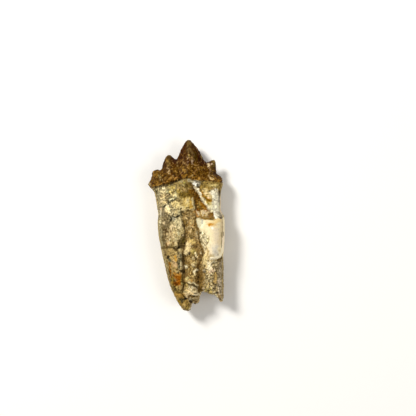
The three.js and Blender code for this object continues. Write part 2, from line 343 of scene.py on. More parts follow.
CROWN_RELIEF = [
    ridge(GIRDLE, 1.15, 0.75),
    ridge([(1.1, 42), (1.3, 34), (0.8, 26)], 1.7, 0.75),
    ridge([(-9.0, 34.6), (-9.2, 30), (-8.6, 24)], 1.6, 0.95),
    ridge([(-14.9, 27.6), (-14.6, 24.5), (-13.6, 22)], 1.5, 0.75),
    ridge([(13.6, 32), (11.3, 28.3), (12.8, 24)], 1.4, 0.85),
    ridge([(-4.6, 33.4), (-4.0, 28), (-3.4, 25)], 1.2, -0.6),
    ridge([(9.9, 31.4), (8.2, 27), (7.6, 24.5)], 1.3, -0.55),
    ridge([(-12.6, 28.0), (-11.9, 25), (-11.4, 23)], 1, -0.5),
]

HOLLOW = [(0.9, 21.5), (3.4, 12), (4.2, 3), (3.4, -8), (2.9, -20), (3.4, -32), (4.2, -40)]
ROCK = [(3.2, -5), (2.5, -13), (3.2, -20), (3.4, -30), (3.6, -38)]
LEFT_CLEFT = [(-1.3, 4), (-0.9, -5), (-1.1, -18), (-1.1, -30), (0.2, -37)]
RIGHT_CLEFT = [(5, 3), (6.6, -3.5), (8.6, -12), (6.6, -20), (6.1, -27), (6.7, -34)]
FLAKED_WEDGE = [
    (3.4, 19.6), (5.4, 18.8), (9.6, 11.4), (12.6, 5), (13.9, 3.1), (4.9, 3.3), (3.8, 10),
]
WORN_NECK = [(6, 20), (12, 21), (22, 21), (22, 3.6), (13.9, 3.2), (9.6, 11.4)]
PLATE = [
    (5, 3.2), (9, 2.7), (14.4, 2.5), (16.4, 3.2), (22, 4.4), (22, -14.5), (17, -16.2),
    (11.6, -16.6), (10, -13), (9.6, -8), (6.8, -3.4), (5.3, -1.4),
]
SUNKEN_FIELD = [(-15, 5.2), (-9, 4.2), (-7.2, 3.2), (-7.6, -3), (-9.5, -9), (-13, -9), (-15, -2)]
UPPER_CRACK = [(-15, 5), (-10.5, 4.4), (-7.5, 4), (-6.6, 5.2), (-4, 4.6), (-1.6, 6.2)]
LOWER_CRACK = [(-14, -11.3), (-8, -11.3), (-5.5, -12.4), (-3, -10)]

UPPER_RELIEF = [
    *CROWN_RELIEF,
    ridge(HOLLOW, 5.4, [(-43, -2.6), (-20, -3.2), (0, -2.7), (12, -1.7), (20, -1.0), (24, 0)]),
    ridge(ROCK, 2.4, [(-43, 2.4), (-26, 2.2), (-12, 1.9), (-4, 0.6), (0, 0)]),
    ridge(LEFT_CLEFT, 1.1, [(-43, -1.0), (-24, -1.0), (-6, -0.8), (4, -0.4), (6, 0)]),
    ridge(RIGHT_CLEFT, 1.2, [(-43, -1.0), (-24, -1.0), (-6, -0.8), (4, -0.3), (6, 0)]),
    patch(FLAKED_WEDGE, -1.1),
    patch(WORN_NECK, -0.75, 1),
    patch(PLATE, 0.75, 0.4),
    patch(SUNKEN_FIELD, -0.7, 0.9),
    ridge(UPPER_CRACK, 0.8, -0.7),
    ridge(LOWER_CRACK, 0.8, -0.45),
    ridge([(0.6, -39), (0.2, -40.5)], 2.2, 1.1),
]
UNDER_HOLLOW = [(0.6, 20), (1.6, 8), (2.2, -6), (3, -20), (4.4, -36)]
UNDER_CRACK = [(-16, 3.5), (-7, 4.4), (-1, 2.6), (6, 3.6), (12, 2.2), (20, 3.6)]
LOWER_RELIEF = [
    *CROWN_RELIEF,
    ridge(UNDER_HOLLOW, 4.6, [(-43, -3.0), (-15, -3.4), (4, -2.8), (16, -1.2), (22, 0)]),
    ridge(UNDER_CRACK, 0.9, -0.6),
]
print(len(UPPER_RELIEF), "large forms above and", len(LOWER_RELIEF), "below")

# %% [markdown]
# Small forms that belong to one place: the deep line of a crack, a pit, the ribs that stand out of
# the rock, the lip of the plate. Each is a ridge again, only narrower.

# %% Small forms
LEFT_SEAM = [
    (-1.9, 2), (-1.2, -0.3), (-0.4, -5.3), (-0.5, -9), (-1, -11.5), (-1.4, -13.4), (-1.7, -15),
    (-1.5, -16.6), (-1.1, -18.4), (-1.2, -20.8), (-1, -22.2), (-1.3, -23.4),
]
LOWER_SEAM = [
    (-1.9, -25.2), (-2, -26.4), (-1.4, -27.8), (-1, -29.2), (-1.6, -30.8), (-2, -32.4),
    (-1.6, -34.6),
]
RIGHT_SEAM = [
    (4.3, 3.6), (4.8, 0), (5.9, -2.4), (6.3, -6.3), (7, -9.8), (8.4, -13.2), (7.9, -17),
    (6.3, -19.6), (6.1, -22.3), (6.3, -26), (5.9, -29.3), (7, -32.3),
]
BLACK_CRACK = [(-7.6, 2.2), (-7.3, 3.2), (-6.6, 4), (-4.8, 4.2), (-3.4, 4.6), (-1.7, 5.1)]
SIDE_CRACK = [(-12.7, -11.4), (-10, -11.3), (-8.4, -11.1), (-6, -11.1), (-5, -12.3), (-3.6, -10.6)]
WHITE_LEDGE = [(4.4, 19.2), (5.9, 17), (7.2, 15), (8, 13), (8.9, 11.2), (10, 10.3)]
PLATE_LIP = [(12.2, -16.3), (14.6, -16.2), (16.6, -15.4), (17.7, -13.6), (18.2, -11)]

# Each mark is a path, its width, how far it stands out, and its colour.
MARKS = [
    (LEFT_SEAM, 0.4, -0.5, "#5f4a25"),
    (LOWER_SEAM, 0.32, -0.3, "#66512a"),
    (RIGHT_SEAM, 0.4, -0.4, "#7f632f"),
    (SIDE_CRACK, 0.38, -0.5, "#5e4c28"),
    (BLACK_CRACK, 0.25, -0.6, "#3f3826"),
    (WHITE_LEDGE, 0.48, 0.75, "#e8dcb6"),
    ([(5.6, 17.6), (6.9, 15.9)], 0.45, 0.2, "#efe6ca"),
    ([(5, 17.3), (6, 16.2)], 0.4, 0.2, "#cbbf9a"),
    (PLATE_LIP, 0.45, 0.35, "#fdf1d0"),
    # Under the girdle: a groove whose dark line is painted shadow.
    ([(-17, 18.2), (-14.4, 19), (-9.5, 20.2), (-5.6, 21.5), (-3, 22.2)], 0.28, -0.4,
      "#3b2b10"),
    # Left root, near the crown.
    ([(-12.7, 16.7), (-11.2, 16.4)], 0.4, 0.2, "#dccb98"),
    ([(-8.1, 12.6), (-6.6, 13.1)], 0.42, 0.3, "#ebe3b4"),
    ([(-9.2, 12.6), (-8.9, 11.4), (-8.9, 10.8), (-8.4, 10.1)], 0.32, -0.6, "#3e3a2a"),
    ([(-7.7, 12.1), (-5.8, 12.6)], 0.28, -0.5, "#4a442e"),
    ([(-10.2, 9.9), (-11.2, 8.8)], 0.32, -0.5, "#403a28"),
    ([(-7, 16.3), (-6.4, 15.8)], 0.3, -0.3, "#7a6c4c"),
    ([(-14.1, 13.2), (-14.1, 10.8)], 0.4, -0.3, "#877c58"),
    ([(-11.5, 8.4), (-11.4, 5)], 0.45, -0.4, "#83765a"),
    ([(-7.5, 7.5), (-5.9, 7.6)], 0.45, -0.2, "#8c7f5c"),
    ([(-4.6, 7.4), (-3.3, 7.4)], 0.4, -0.2, "#8c7c54"),
    ([(-2.6, 9.1), (1, 9.2)], 0.32, 0.2, "#dccc98"),
    ([(-12.9, 6.8), (-13, 5)], 0.5, 0.2, "#ccc09c"),
    ([(-3.6, 6.8), (-3.5, 5.3)], 0.42, 0.2, "#d0c494"),
    ([(-2.9, 12.6), (-2.8, 10.6)], 0.4, -0.1, "#9a8450"),
    ([(0.3, 12.8), (0.3, 10)], 1, 0.4, "#d3b870"),
    ([(3.2, 13.6), (3.4, 10.4), (4.2, 8.4)], 0.32, 0.4, "#c9b988"),
    # Left root, below the black crack: dark hollows, then pale flakes.
    ([(-7.4, 3.9), (-7.3, 2.4)], 0.32, -0.8, "#2a2214"),
    ([(-9.6, -2.9), (-8.7, -3.6)], 0.4, -0.4, "#574522"),
    ([(-10.4, -3.2), (-10.4, -5.5)], 0.4, -0.4, "#5e4c2a"),
    ([(-11.5, -5.3), (-11.2, -7.4)], 0.45, -0.4, "#635332"),
    ([(-9.9, -9), (-9.6, -10.6)], 0.4, -0.4, "#78592a"),
    ([(-1.2, -7.2), (-1.5, -8.4)], 0.4, -0.3, "#544a18"),
    ([(-2.4, -10.2), (-3.4, -11.1)], 0.42, -0.5, "#43361a"),
    ([(-2.7, 2), (-2.4, 0.2), (-3, -0.8), (-3.6, -1.5)], 0.4, 0.3, "#ead8a8"),
    ([(-5, 2.6), (-4.4, 0)], 0.6, 0.2, "#d6c898"),
    ([(-7.6, -0.5), (-5.6, -0.5)], 0.45, 0.3, "#dfca9a"),
    ([(-6, -2), (-6, -4.6)], 0.36, 0.3, "#dcc890"),
    ([(-4, -3.6), (-3.6, -4.6)], 0.4, 0.2, "#c6bc92"),
    ([(-9, -8), (-7.8, -6.8)], 0.28, 0.2, "#d8c6a2"),
    ([(-8.9, -8.2), (-8.9, -9.6)], 0.3, 0.2, "#d0b080"),
    ([(-5.2, -9), (-4.8, -9.6)], 0.5, 0.2, "#c8b480"),
    ([(-1.9, -2), (-1.9, -3.4)], 0.6, 0.3, "#d8c48a"),
    # Left root, lower half.
    ([(-4.4, -11.5), (-4.4, -13.8)], 0.42, -0.4, "#5c4a26"),
    ([(-8.7, -16.4), (-8.1, -17.3)], 0.42, -0.5, "#57543e"),
    ([(-5.3, -15), (-5, -17.3)], 0.4, 0.1, "#c2933c"),
    ([(-6.4, -18.4), (-5.2, -19.6)], 0.7, 0.1, "#c8a878"),
    ([(-3.4, -17.7), (-3.4, -19)], 0.4, -0.4, "#6a6444"),
    ([(-2.5, -18.4), (-2.4, -20.4)], 0.36, 0.3, "#d2bf90"),
    ([(-2.5, -22.8), (-1, -23.4)], 0.42, -0.5, "#3f3115"),
    ([(-6.4, -24.6), (-6.2, -26.6)], 0.32, -0.3, "#6e5628"),
    ([(-2, -28.6), (-0.6, -29.2)], 0.6, -0.4, "#4c3c14"),
    ([(-4.6, -34.6), (-3.4, -35), (-1.7, -35.1)], 1.1, 0.6, "#a27e3a"),
    ([(-3, -37), (-0.9, -36.9)], 0.5, -0.6, "#453919"),
    # Rock between the roots, and the ribs at its end.
    # A pale rock lump whose brightness is partly its own colour and partly painted highlight.
    ([(1.3, -9.2), (1, -11), (0.2, -13.2)], 1.15, 0.7, "#e6d09a"),
    ([(2.2, -7.7), (3.6, -8)], 0.9, 0.4, "#cdb26e"),
    ([(4.3, -13.9), (5, -15.5)], 0.45, 0.5, "#ecdcae"),
    ([(3.6, -19.8), (2.9, -19.4)], 0.6, 0.4, "#d6c292"),
    ([(4.2, -22.8), (5.1, -22.3)], 0.55, 0.5, "#f0e4bc"),
    ([(1, -17.2), (2, -18)], 0.9, 0.4, "#b5985e"),
    ([(0.5, -26.1), (0.2, -27.1)], 0.5, 0.7, "#d2c282"),
    ([(0.2, -27.6), (1.5, -27.3), (1.9, -28.2)], 0.45, 0.5, "#b8a068"),
    ([(1.2, -28.3), (2.2, -28.6), (3.5, -28.5), (4.4, -29), (4.9, -29.6), (5.3, -30.1)], 0.48,
      1.3, "#ddcd9e"),
    ([(2.6, -27.3), (2.7, -27.7)], 0.3, 0.2, "#ac8444"),
    ([(1, -29.4), (2.3, -29.4)], 0.38, -0.8, "#634c25"),
    ([(3.4, -29.7), (4.2, -30.3), (5, -30.7)], 0.38, -0.8, "#615026"),
    ([(0.4, -29.8), (0.7, -31)], 0.45, 0.4, "#b09a5c"),
    ([(1.6, -30.2), (1.8, -30.7)], 0.5, 0.6, "#dccca0"),
    ([(2.5, -30), (2.5, -30.8)], 0.3, -0.5, "#86703f"),
    ([(3, -30.3), (3, -31.7)], 0.38, 0.8, "#e6dab0"),
    ([(3.8, -31), (4.6, -31.2), (5.3, -31.8)], 0.32, 0.5, "#cbb790"),
    ([(1, -31.5), (2, -31.8)], 0.6, 0.6, "#e4cc9a"),
    ([(4.3, -32.3), (4.9, -32.3)], 0.35, -0.5, "#6b5b31"),
    ([(-1, -33), (0.2, -32.9), (1.6, -33.3)], 0.4, 0.6, "#d0be8a"),
    ([(2.4, -32.7), (3.6, -32.9), (5, -33.2)], 0.55, 0.7, "#dcca9e"),
    ([(3.2, -33.6), (5.4, -33.8)], 0.25, -0.4, "#9f9370"),
    ([(3.2, -34.1), (4.2, -34.5), (5.8, -34.2)], 0.42, 1, "#e0d0aa"),
    ([(0.2, -34.3), (1.2, -33.7), (2.6, -33.7)], 0.6, 0.7, "#e4cb98"),
    ([(0, -35), (-0.1, -35.7)], 0.45, 0.4, "#d2bc8e"),
    ([(2, -35), (3, -35.5), (4.4, -35.6)], 0.36, -0.7, "#5a461c"),
    ([(3.4, -36.3), (4.6, -36.1), (5.7, -36.4)], 0.35, 0.5, "#ab976d"),
    ([(3.3, -37.2), (3.9, -37.1)], 0.4, -0.4, "#5e4c22"),
    ([(4.2, -37), (5.2, -37.2)], 0.35, 0.3, "#93805a"),
    ([(-1.6, -34.4), (-1, -35.5)], 0.35, -0.5, "#5e450e"),
    ([(2, -37.8), (2.5, -38.5)], 0.45, -0.7, "#1f1206"),
    # Right root.
    ([(4, 20.7), (5, 20.3)], 0.7, 0.4, "#e8e5d6"),
    # A grey groove at the foot of the enamel: painted shade.
    ([(2.8, 22.6), (4.4, 22.1), (6.8, 21.2)], 0.3, -0.2, "#67604f"),
    ([(8.3, 6.4), (10, 5.8)], 0.9, 0.4, "#c7b285"),
    # A hollow at the right edge, its dark colour painted shadow.
    ([(17.5, 16.4), (17.5, 14)], 1, -0.5, "#43351d"),
    ([(17.2, 13.6), (17.2, 11)], 0.8, -0.3, "#6f6a5a"),
    ([(17.2, 10.8), (17.2, 7.6)], 0.5, -0.1, "#a5a27c"),
    ([(19.3, 13.4), (19.3, 7.8)], 0.9, 0.2, "#dfc6a4"),
    ([(13.8, 12.5), (14.8, 12.4)], 0.26, -0.3, "#8c8870"),
    ([(14, 6.8), (14.2, 5.6), (14.8, 3.8)], 0.4, 0.4, "#fbf8e4"),
    ([(8, 16.4), (8, 14.6)], 0.34, 0.1, "#a8782a"),
    ([(9.2, 13.8), (10.6, 12.7), (11.8, 12)], 0.4, -0.4, "#8f6400"),
    ([(5.6, 20.2), (5.6, 19.2)], 0.32, -0.4, "#5a543e"),
    ([(12.4, 19.8), (14.9, 19.6)], 0.5, 0.2, "#c8b474"),
    ([(8.4, 9.9), (9.6, 9.2)], 0.4, -0.3, "#7a5004"),
    ([(11.1, -5.3), (11.4, -7), (10.8, -8.4), (9.9, -9)], 0.2, -0.25, "#a58f62"),
    ([(8.2, -9), (9.4, -10), (9.9, -11.4)], 0.22, -0.25, "#98845a"),
    ([(8.8, 1.4), (7.6, -0.8)], 0.4, 0.15, "#fdfcd0"),
    ([(11.2, 0.2), (11.9, 0.6)], 0.3, -0.1, "#c27f22"),
    ([(12.6, 0.8), (13.2, 0.5)], 0.26, -0.1, "#cf9a48"),
    ([(8.4, -7.6), (9.2, -8.8)], 0.3, 0.2, "#f0dfb0"),
    ([(10, -12), (10, -14.5)], 0.24, 0.2, "#f0dca8"),
    ([(10.8, -11.5), (10.8, -14.5)], 0.24, -0.1, "#c4a468"),
    ([(18.2, 2.5), (18.2, -3)], 0.26, -0.2, "#a08458"),
    ([(17.8, -3.4), (17.7, -6), (17.6, -8.5), (17.6, -11)], 0.24, -0.2, "#8c7a50"),
    ([(19.8, -5.5), (19.7, -11)], 0.8, 0.2, "#ffe8c8"),
    ([(11.4, -18.7), (11.6, -21.5)], 1, 0.4, "#f2e4bc"),
    ([(9.2, -15.4), (9.3, -19)], 0.8, 0.3, "#dcc68c"),
    ([(12.1, -22.8), (13, -22.6)], 0.7, 0.2, "#dcc09c"),
    ([(14.6, -24), (14.4, -28.2)], 0.55, -0.1, "#b8995a"),
    ([(15, -21.5), (15, -23.2)], 0.36, -0.3, "#847350"),
    ([(14.6, -30.3), (14.6, -31.8)], 0.4, -0.5, "#5c4f3a"),
    ([(17.6, -32), (17.5, -33.4)], 0.3, -0.3, "#6d6046"),
    ([(10.5, -29.8), (10.5, -31.5)], 0.32, 0.2, "#c9b47c"),
    ([(8.2, -31.4), (9.2, -33.1)], 0.36, 0.3, "#c8b28c"),
    ([(16.4, -32.6), (16.4, -34)], 0.32, 0.3, "#c6b698"),
    ([(14.5, -34.3), (15.6, -35.6)], 0.32, 0.3, "#d8cca4"),
    ([(15, -30.4), (15, -32.6)], 0.34, 0.2, "#a89468"),
    ([(17.9, -33), (18, -36.8)], 0.42, 0.3, "#d2c09c"),
]
# Each spot is a place (x, y), its width, how far it stands out (a pit is below 0), and its colour.
SPOTS = [
    # Pits along the black crack.
    (-6.4, 4.2, 0.36, -0.5, "#3a311c"), (-4.2, 4.4, 0.55, -0.8, "#2d2512"),
    (-2.4, 5.5, 0.36, -0.5, "#4a3f20"), (-7.9, 2.3, 0.36, -0.4, "#3a3424"),
    (-8.1, 1.6, 0.4, -0.4, "#433820"), (-6.9, 4.8, 0.28, -0.4, "#4c4028"),
    # Left root, near the crown: cream grains, then grey ones.
    (-11.3, 18.2, 0.6, 0.2, "#e8d8ae"), (-10.5, 17.6, 0.45, 0.2, "#d8c894"),
    (-13.5, 15.5, 0.35, 0.2, "#b8ac84"), (-9.4, 16.6, 0.35, 0.2, "#c8c494"),
    (-7.7, 16.5, 0.6, 0.2, "#dac478"), (-9, 15.1, 0.35, 0.2, "#d8c090"),
    (-5.5, 15.5, 0.7, 0.2, "#d8cc94"), (-5.4, 14.5, 0.4, 0.2, "#e4dcb0"),
    (-6.6, 14.8, 0.5, 0.2, "#ecd498"), (-11.2, 14.2, 0.5, 0.2, "#d6c088"),
    (-12.6, 13.1, 0.5, 0.2, "#d6c28e"), (-10.9, 12.7, 0.45, 0.2, "#e0cc96"),
    (-11, 11.2, 0.5, 0.2, "#e4cc90"), (-12.5, 11.8, 0.5, 0.2, "#dcc496"),
    (-9.2, 9.5, 0.5, 0.2, "#ecdcb0"), (-9.9, 9, 0.35, 0.2, "#efe0b4"),
    (-9, 7.8, 0.9, 0.2, "#eedaa6"), (-8.4, 7.5, 0.4, 0.2, "#ece4b0"),
    (-4.2, 10.5, 0.9, 0.2, "#dcc888"), (-6.1, 10.8, 0.7, 0.2, "#d8c080"),
    (-13, 8.6, 0.5, 0.2, "#c8a888"), (-14.8, 13.6, 0.4, 0.1, "#a89878"),
    (-13.4, 10.8, 0.5, 0.1, "#b8a478"), (-9.4, 4.6, 0.4, 0.2, "#ccb888"),
    (-7, 5.6, 0.5, 0.2, "#d0c49c"), (-5, 6.2, 0.7, 0.2, "#ccb880"),
    (-3.4, 18.5, 0.5, 0.2, "#b89c68"), (-6.6, 18.6, 0.7, 0.2, "#bca458"),
    (-0.5, 8.5, 0.35, 0.2, "#e0cc80"), (0.6, 12.2, 0.6, 0.3, "#ead69c"),
    (-0.2, 11, 0.5, 0.2, "#dcc686"), (1.2, 10.6, 0.5, 0.2, "#dac47e"),
    (-1.8, 12.8, 0.42, 0.2, "#cdb66e"), (-1.2, 7.6, 0.42, 0.2, "#c8b482"),
    (2, 8, 0.36, 0.2, "#bfa466"), (-0.9, 12.9, 0.3, -0.4, "#8c7438"),
    (-0.4, 9.7, 0.3, -0.3, "#a88c48"), (1.9, 11.6, 0.26, -0.3, "#a98c44"),
    (0.3, 8.4, 0.34, -0.4, "#7a683a"), (-2.6, 8.2, 0.32, -0.4, "#746440"),
    (2.7, 9.2, 0.3, -0.3, "#86682c"), (-11.2, 17.3, 0.4, -0.4, "#7b7056"),
    (-13.3, 18.3, 0.5, -0.3, "#6a6450"), (-8.8, 17.4, 0.35, -0.4, "#6b6340"),
    (-9, 16, 0.3, -0.4, "#5f5a38"), (-5.4, 17.1, 0.3, -0.4, "#6a6038"),
    (-8, 15.4, 0.42, -0.6, "#48412f"), (-8.4, 13.8, 0.38, -0.4, "#6e6646"),
    (-7.1, 14, 0.28, -0.4, "#6a6440"), (-5.5, 13.6, 0.45, -0.6, "#4c4f3e"),
    (-4.6, 12.4, 0.3, -0.3, "#7a6c40"), (-9.9, 12.4, 0.28, -0.3, "#80683c"),
    (-10.4, 10.5, 0.3, -0.4, "#66563a"), (-12.5, 10.7, 0.32, -0.4, "#655a38"),
    (-13.4, 9, 0.38, -0.4, "#665a38"), (-12.2, 14.1, 0.28, -0.3, "#a08058"),
    (-13.9, 13.9, 0.28, -0.3, "#7c7050"), (-13.4, 16.5, 0.32, -0.3, "#7a7458"),
    (-15.6, 16.4, 0.6, -0.4, "#5a5638"), (-10.9, 5.6, 0.35, -0.4, "#6a5f42"),
    (-2.4, 6.4, 0.3, -0.3, "#6a5c38"), (-13.4, 4, 0.38, -0.4, "#605a40"),
    (-3.4, 17.7, 0.35, -0.3, "#806018"), (-1.9, 17.4, 0.3, -0.3, "#75602c"),
    (-0.8, 16.4, 0.35, -0.3, "#6a5420"), (0.9, 7.3, 0.4, -0.4, "#665428"),
    (1, 14.6, 0.55, -0.3, "#5a4410"), (-0.8, 13.6, 0.45, -0.3, "#7c6018"),
    (-8.7, 20.6, 0.45, -0.3, "#6a5c20"), (-4.8, 20, 0.35, -0.3, "#776448"),
    # Left root, below the black crack: pits, then pale grains.
    (-8.9, 1, 0.3, -0.3, "#5a4f36"), (-12.3, 0.5, 0.36, -0.3, "#655a38"),
    (-10.3, -2.4, 0.5, -0.4, "#5c4526"), (-7.6, -2.7, 0.42, -0.4, "#654f38"),
    (-8.6, -1.5, 0.34, -0.3, "#645432"), (-8, -6, 0.34, -0.4, "#6b5c34"),
    (-9, -7.2, 0.36, -0.4, "#7c683c"), (-7.2, -7.4, 0.42, -0.3, "#8a7a44"),
    (-6.4, -8.8, 0.5, -0.4, "#8a7040"), (-7.5, -10.6, 0.5, -0.4, "#6f5f2c"),
    (-4.9, -5.2, 0.25, -0.3, "#8a7448"), (-2.8, -7.5, 0.5, -0.4, "#5c5028"),
    (-1.5, -5.5, 0.3, -0.3, "#5f5228"), (0.1, 0.3, 0.6, -0.4, "#6b5020"),
    (-11.2, -9.4, 0.4, -0.3, "#6a5a36"), (-11, 1.1, 0.35, 0.2, "#cdb488"),
    (-6.4, 3.4, 0.45, 0.1, "#8e8a70"), (-5.6, 3.2, 0.4, 0.2, "#b8ac90"),
    (-3, 1.2, 0.36, -0.1, "#b5ac88"), (-7.3, -1.6, 0.4, 0.2, "#dcc498"),
    (-5.8, -4.9, 0.42, 0.2, "#dfcc98"), (-1.7, -4.9, 0.34, 0.2, "#d6c49c"),
    (-4.9, -6.6, 0.42, 0.2, "#cfc492"), (-3.4, -6.2, 0.42, 0.1, "#b5a67c"),
    (-6.6, -6.2, 0.42, 0.2, "#d4be90"), (-7.8, -8.6, 0.5, 0.2, "#c8b47c"),
    (-13.6, 1.4, 0.5, 0.2, "#ded0a4"), (-12.9, -4.6, 0.4, 0.1, "#b8a880"),
    (-13.2, -1, 0.4, 0.1, "#c0b288"),
    # Left root, lower half.
    (-10.3, -14.8, 0.45, -0.6, "#5c4724"), (-8.9, -15.8, 0.6, -1.1, "#1a150c"),
    (-7, -18.2, 0.38, -0.4, "#6a5c38"), (-5.4, -11.9, 0.38, -0.4, "#5f4c26"),
    (-3.8, -15, 0.32, -0.3, "#8f7f60"), (-2.9, -17, 0.34, -0.4, "#6a5f3c"),
    (-3.4, -20.5, 0.42, -0.5, "#5e5638"), (-3.9, -23.4, 0.42, -0.5, "#4a3c1a"),
    (-8.1, -19.4, 0.5, -0.2, "#8a5a1c"), (-6, -27.5, 0.38, -0.5, "#4a3412"),
    (-5.4, -25.4, 0.45, -0.1, "#8a5208"), (-4, -26.7, 0.4, -0.1, "#7c4602"),
    (-2, -25.7, 0.35, -0.3, "#5e471c"), (-5.3, -30.5, 0.45, -0.5, "#4f3c0e"),
    (-5.1, -32, 0.45, -0.5, "#4d3c1c"), (-4.6, -33.5, 0.38, -0.3, "#5c4b1c"),
    (-1.7, -33.4, 0.36, -0.3, "#5e4716"), (-1.5, -30.5, 0.42, -0.4, "#4f4028"),
    (-2, -37.9, 0.7, -0.4, "#524b33"), (-3.4, -21.9, 0.38, 0.3, "#d4c498"),
    (-5, -13.6, 0.5, 0.2, "#c8b074"), (-3, -12, 0.5, 0.2, "#b8a674"),
    (-4.4, -23, 0.4, 0.2, "#c2ad78"), (-8.9, -25.2, 0.4, 0.1, "#a08f52"),
    (-8, -25.8, 0.28, 0.1, "#b08a58"), (-4.6, -30.5, 0.36, 0.2, "#b8a25c"),
    (-3.1, -30, 0.36, 0.2, "#b79a62"), (-0.9, -31.4, 0.4, 0.2, "#a8905a"),
    (-2.2, -28.9, 0.42, 0.2, "#b3a468"), (-4.6, -27.9, 0.38, 0.1, "#a96a18"),
    (-3.8, -38.2, 0.7, 0.2, "#917418"), (-1, -39.6, 0.8, 0.3, "#b59a5e"),
    (0.8, -41.4, 1, 0.3, "#a58c48"),
    # Rock.
    (1.6, -14.1, 0.45, -1, "#241a0b"), (1.5, -18.5, 0.45, -0.4, "#75571f"),
    (5, -17.4, 0.45, -0.5, "#5e481c"), (5.1, -23, 0.45, -0.5, "#4c4018"),
    (6, -19.7, 0.4, -0.5, "#4a310e"), (6, -25.5, 0.36, -0.4, "#46300d"),
    (5.8, -28.2, 0.4, -0.5, "#48340f"), (3.5, -2.7, 0.5, -0.4, "#5f4e22"),
    (2.5, -5.1, 0.5, -0.4, "#665428"), (-0.2, -36.5, 0.6, -0.8, "#23190b"),
    (2.6, 1.5, 0.8, 0.3, "#d8bf80"), (3.8, -16.1, 0.6, 0.4, "#dfcb98"),
    (4.4, -18.6, 0.8, 0.5, "#dcc384"), (-0.3, -20.6, 0.7, 0.4, "#e2d5ac"),
    (4.4, -24.5, 0.6, 0.3, "#d3c08e"),
    # Right root, neck and plate.
    (2.6, 21, 0.42, -0.3, "#4f3608"), (6, 19.1, 0.34, -0.4, "#46350c"),
    (6.6, 18.6, 0.34, -0.3, "#5c4814"), (1.4, 22.4, 0.6, 0.3, "#b8ac8a"),
    (3.1, 21.6, 0.45, 0.3, "#c8bc98"), (4.1, 19.2, 0.5, 0.3, "#e8dab8"),
    (-0.9, 21.2, 0.4, 0.1, "#9c9648"), (-2.5, 21.8, 0.4, 0.1, "#b8ac84"),
    (9.6, 7.2, 0.4, 0.3, "#ceb08c"), (6, 16.5, 0.24, -0.1, "#9c9878"),
    (6.5, 16.1, 0.28, -0.1, "#a8a690"), (8.6, 6, 0.4, 0.2, "#e0ccac"),
    (5.6, 14.1, 0.3, -0.3, "#5a2f02"), (6.5, 13.6, 0.34, -0.4, "#532c02"),
    (5.6, 9.2, 0.3, 0.2, "#a08048"), (6.4, 11.4, 0.36, 0.2, "#8c7038"),
    (5.6, 7.4, 0.36, -0.3, "#6e3e02"), (4.6, 6.6, 0.4, 0.1, "#a47838"),
    (5.4, 5, 0.36, 0.2, "#b88c50"), (12.8, 5.6, 0.6, -0.4, "#6f4e14"),
    (11, 5.5, 0.3, -0.3, "#6a4c08"), (11.4, 12.2, 0.36, -0.3, "#7c5400"),
    (10.6, 11.6, 0.4, 0.1, "#ac8c3c"), (10.8, 10.8, 0.4, -0.2, "#8c7c30"),
    (10.7, 14.5, 0.42, 0.2, "#f8e4a8"), (10.9, 13.9, 0.34, 0.2, "#ecc8a0"),
    (10, 15.9, 0.34, 0.1, "#e8cc9c"), (12, 15.6, 0.34, 0.1, "#e0c49c"),
    (11.9, 14.5, 0.26, -0.1, "#c4b07c"), (13.3, 12.6, 0.4, -0.1, "#c8c0a8"),
    (13.3, 11.6, 0.34, -0.1, "#bcb49c"), (13.3, 10, 0.4, -0.1, "#d0c4a4"),
    (13.6, 14.2, 0.6, 0.2, "#fdf8dc"), (14.6, 11.4, 0.42, 0.2, "#fbf6d4"),
    (14.7, 8.9, 0.42, 0.2, "#fdfad4"), (15.2, 6.6, 0.4, -0.1, "#c8b8a0"),
    (12.4, 6.8, 0.42, 0.1, "#f4e8b8"), (12.4, 9.4, 0.5, 0.1, "#eae2b4"),
    (17, 3.6, 0.42, -0.4, "#57493a"), (17.5, 4.4, 0.42, -0.2, "#857664"),
    (13.5, 18, 0.34, -0.2, "#8a6c3c"), (16, 16.9, 0.3, -0.3, "#5f4c24"),
    (8.2, 20.6, 0.42, -0.2, "#7c6a3c"), (14.1, 12.9, 0.3, -0.2, "#8e8a78"),
    # The plate.
    (7.8, 1.4, 0.5, 0, "#c4bfa8"), (7.9, 2.6, 0.34, -0.1, "#b0ab98"),
    (9.9, 1.6, 0.45, 0, "#dfcb9c"), (14.6, 1.4, 0.6, 0, "#f5d490"),
    (12.8, -1.2, 0.42, 0, "#fffdf0"), (16, -2.2, 0.26, -0.1, "#d4bc90"),
    (15.7, 0.4, 0.26, -0.1, "#dcc49c"), (8, -3.9, 0.34, 0.1, "#fffcd0"),
    (8.7, -4.5, 0.34, -0.2, "#b8a880"), (10.2, -8.6, 0.4, -0.4, "#857250"),
    (10.6, -7.5, 0.34, 0.1, "#f5ecb0"), (9.4, -11.6, 0.32, -0.3, "#998c6c"),
    (15.8, -14.6, 0.4, -0.1, "#b8ab90"), (17, -14.5, 0.34, 0.1, "#fdf0d0"),
    (16.4, -12.5, 0.4, 0, "#d6be92"), (19.1, -3.8, 0.5, -0.3, "#7a6444"),
    (19.4, -5, 0.5, -0.3, "#6f6148"), (7.1, -3.9, 0.5, -0.9, "#2f2712"),
    (7.3, -8.4, 0.5, -0.5, "#75673f"),
    # Right root, lower half.
    (17.5, -16.3, 0.6, -0.7, "#50401a"), (16.5, -16.9, 0.5, -0.5, "#5a4822"),
    (16.9, -17.9, 0.5, -0.4, "#6a5830"), (13.4, -19, 0.4, -0.4, "#6f6446"),
    (13.5, -20.6, 0.38, -0.4, "#6d5a30"), (7.5, -17.4, 0.42, -0.4, "#5d4a26"),
    (8.2, -14.9, 0.35, -0.3, "#7a6a44"), (9.1, -23, 0.5, -0.5, "#5c5646"),
    (12.4, -24.9, 0.42, -0.4, "#6e5f40"), (10.4, -26.5, 0.36, -0.4, "#6f5f3c"),
    (11.5, -27.8, 0.38, -0.5, "#5c5136"), (12.1, -26.9, 0.28, -0.3, "#6f6448"),
    (13.4, -26.5, 0.34, -0.3, "#75654a"), (13, -28.3, 0.36, -0.4, "#6b5c36"),
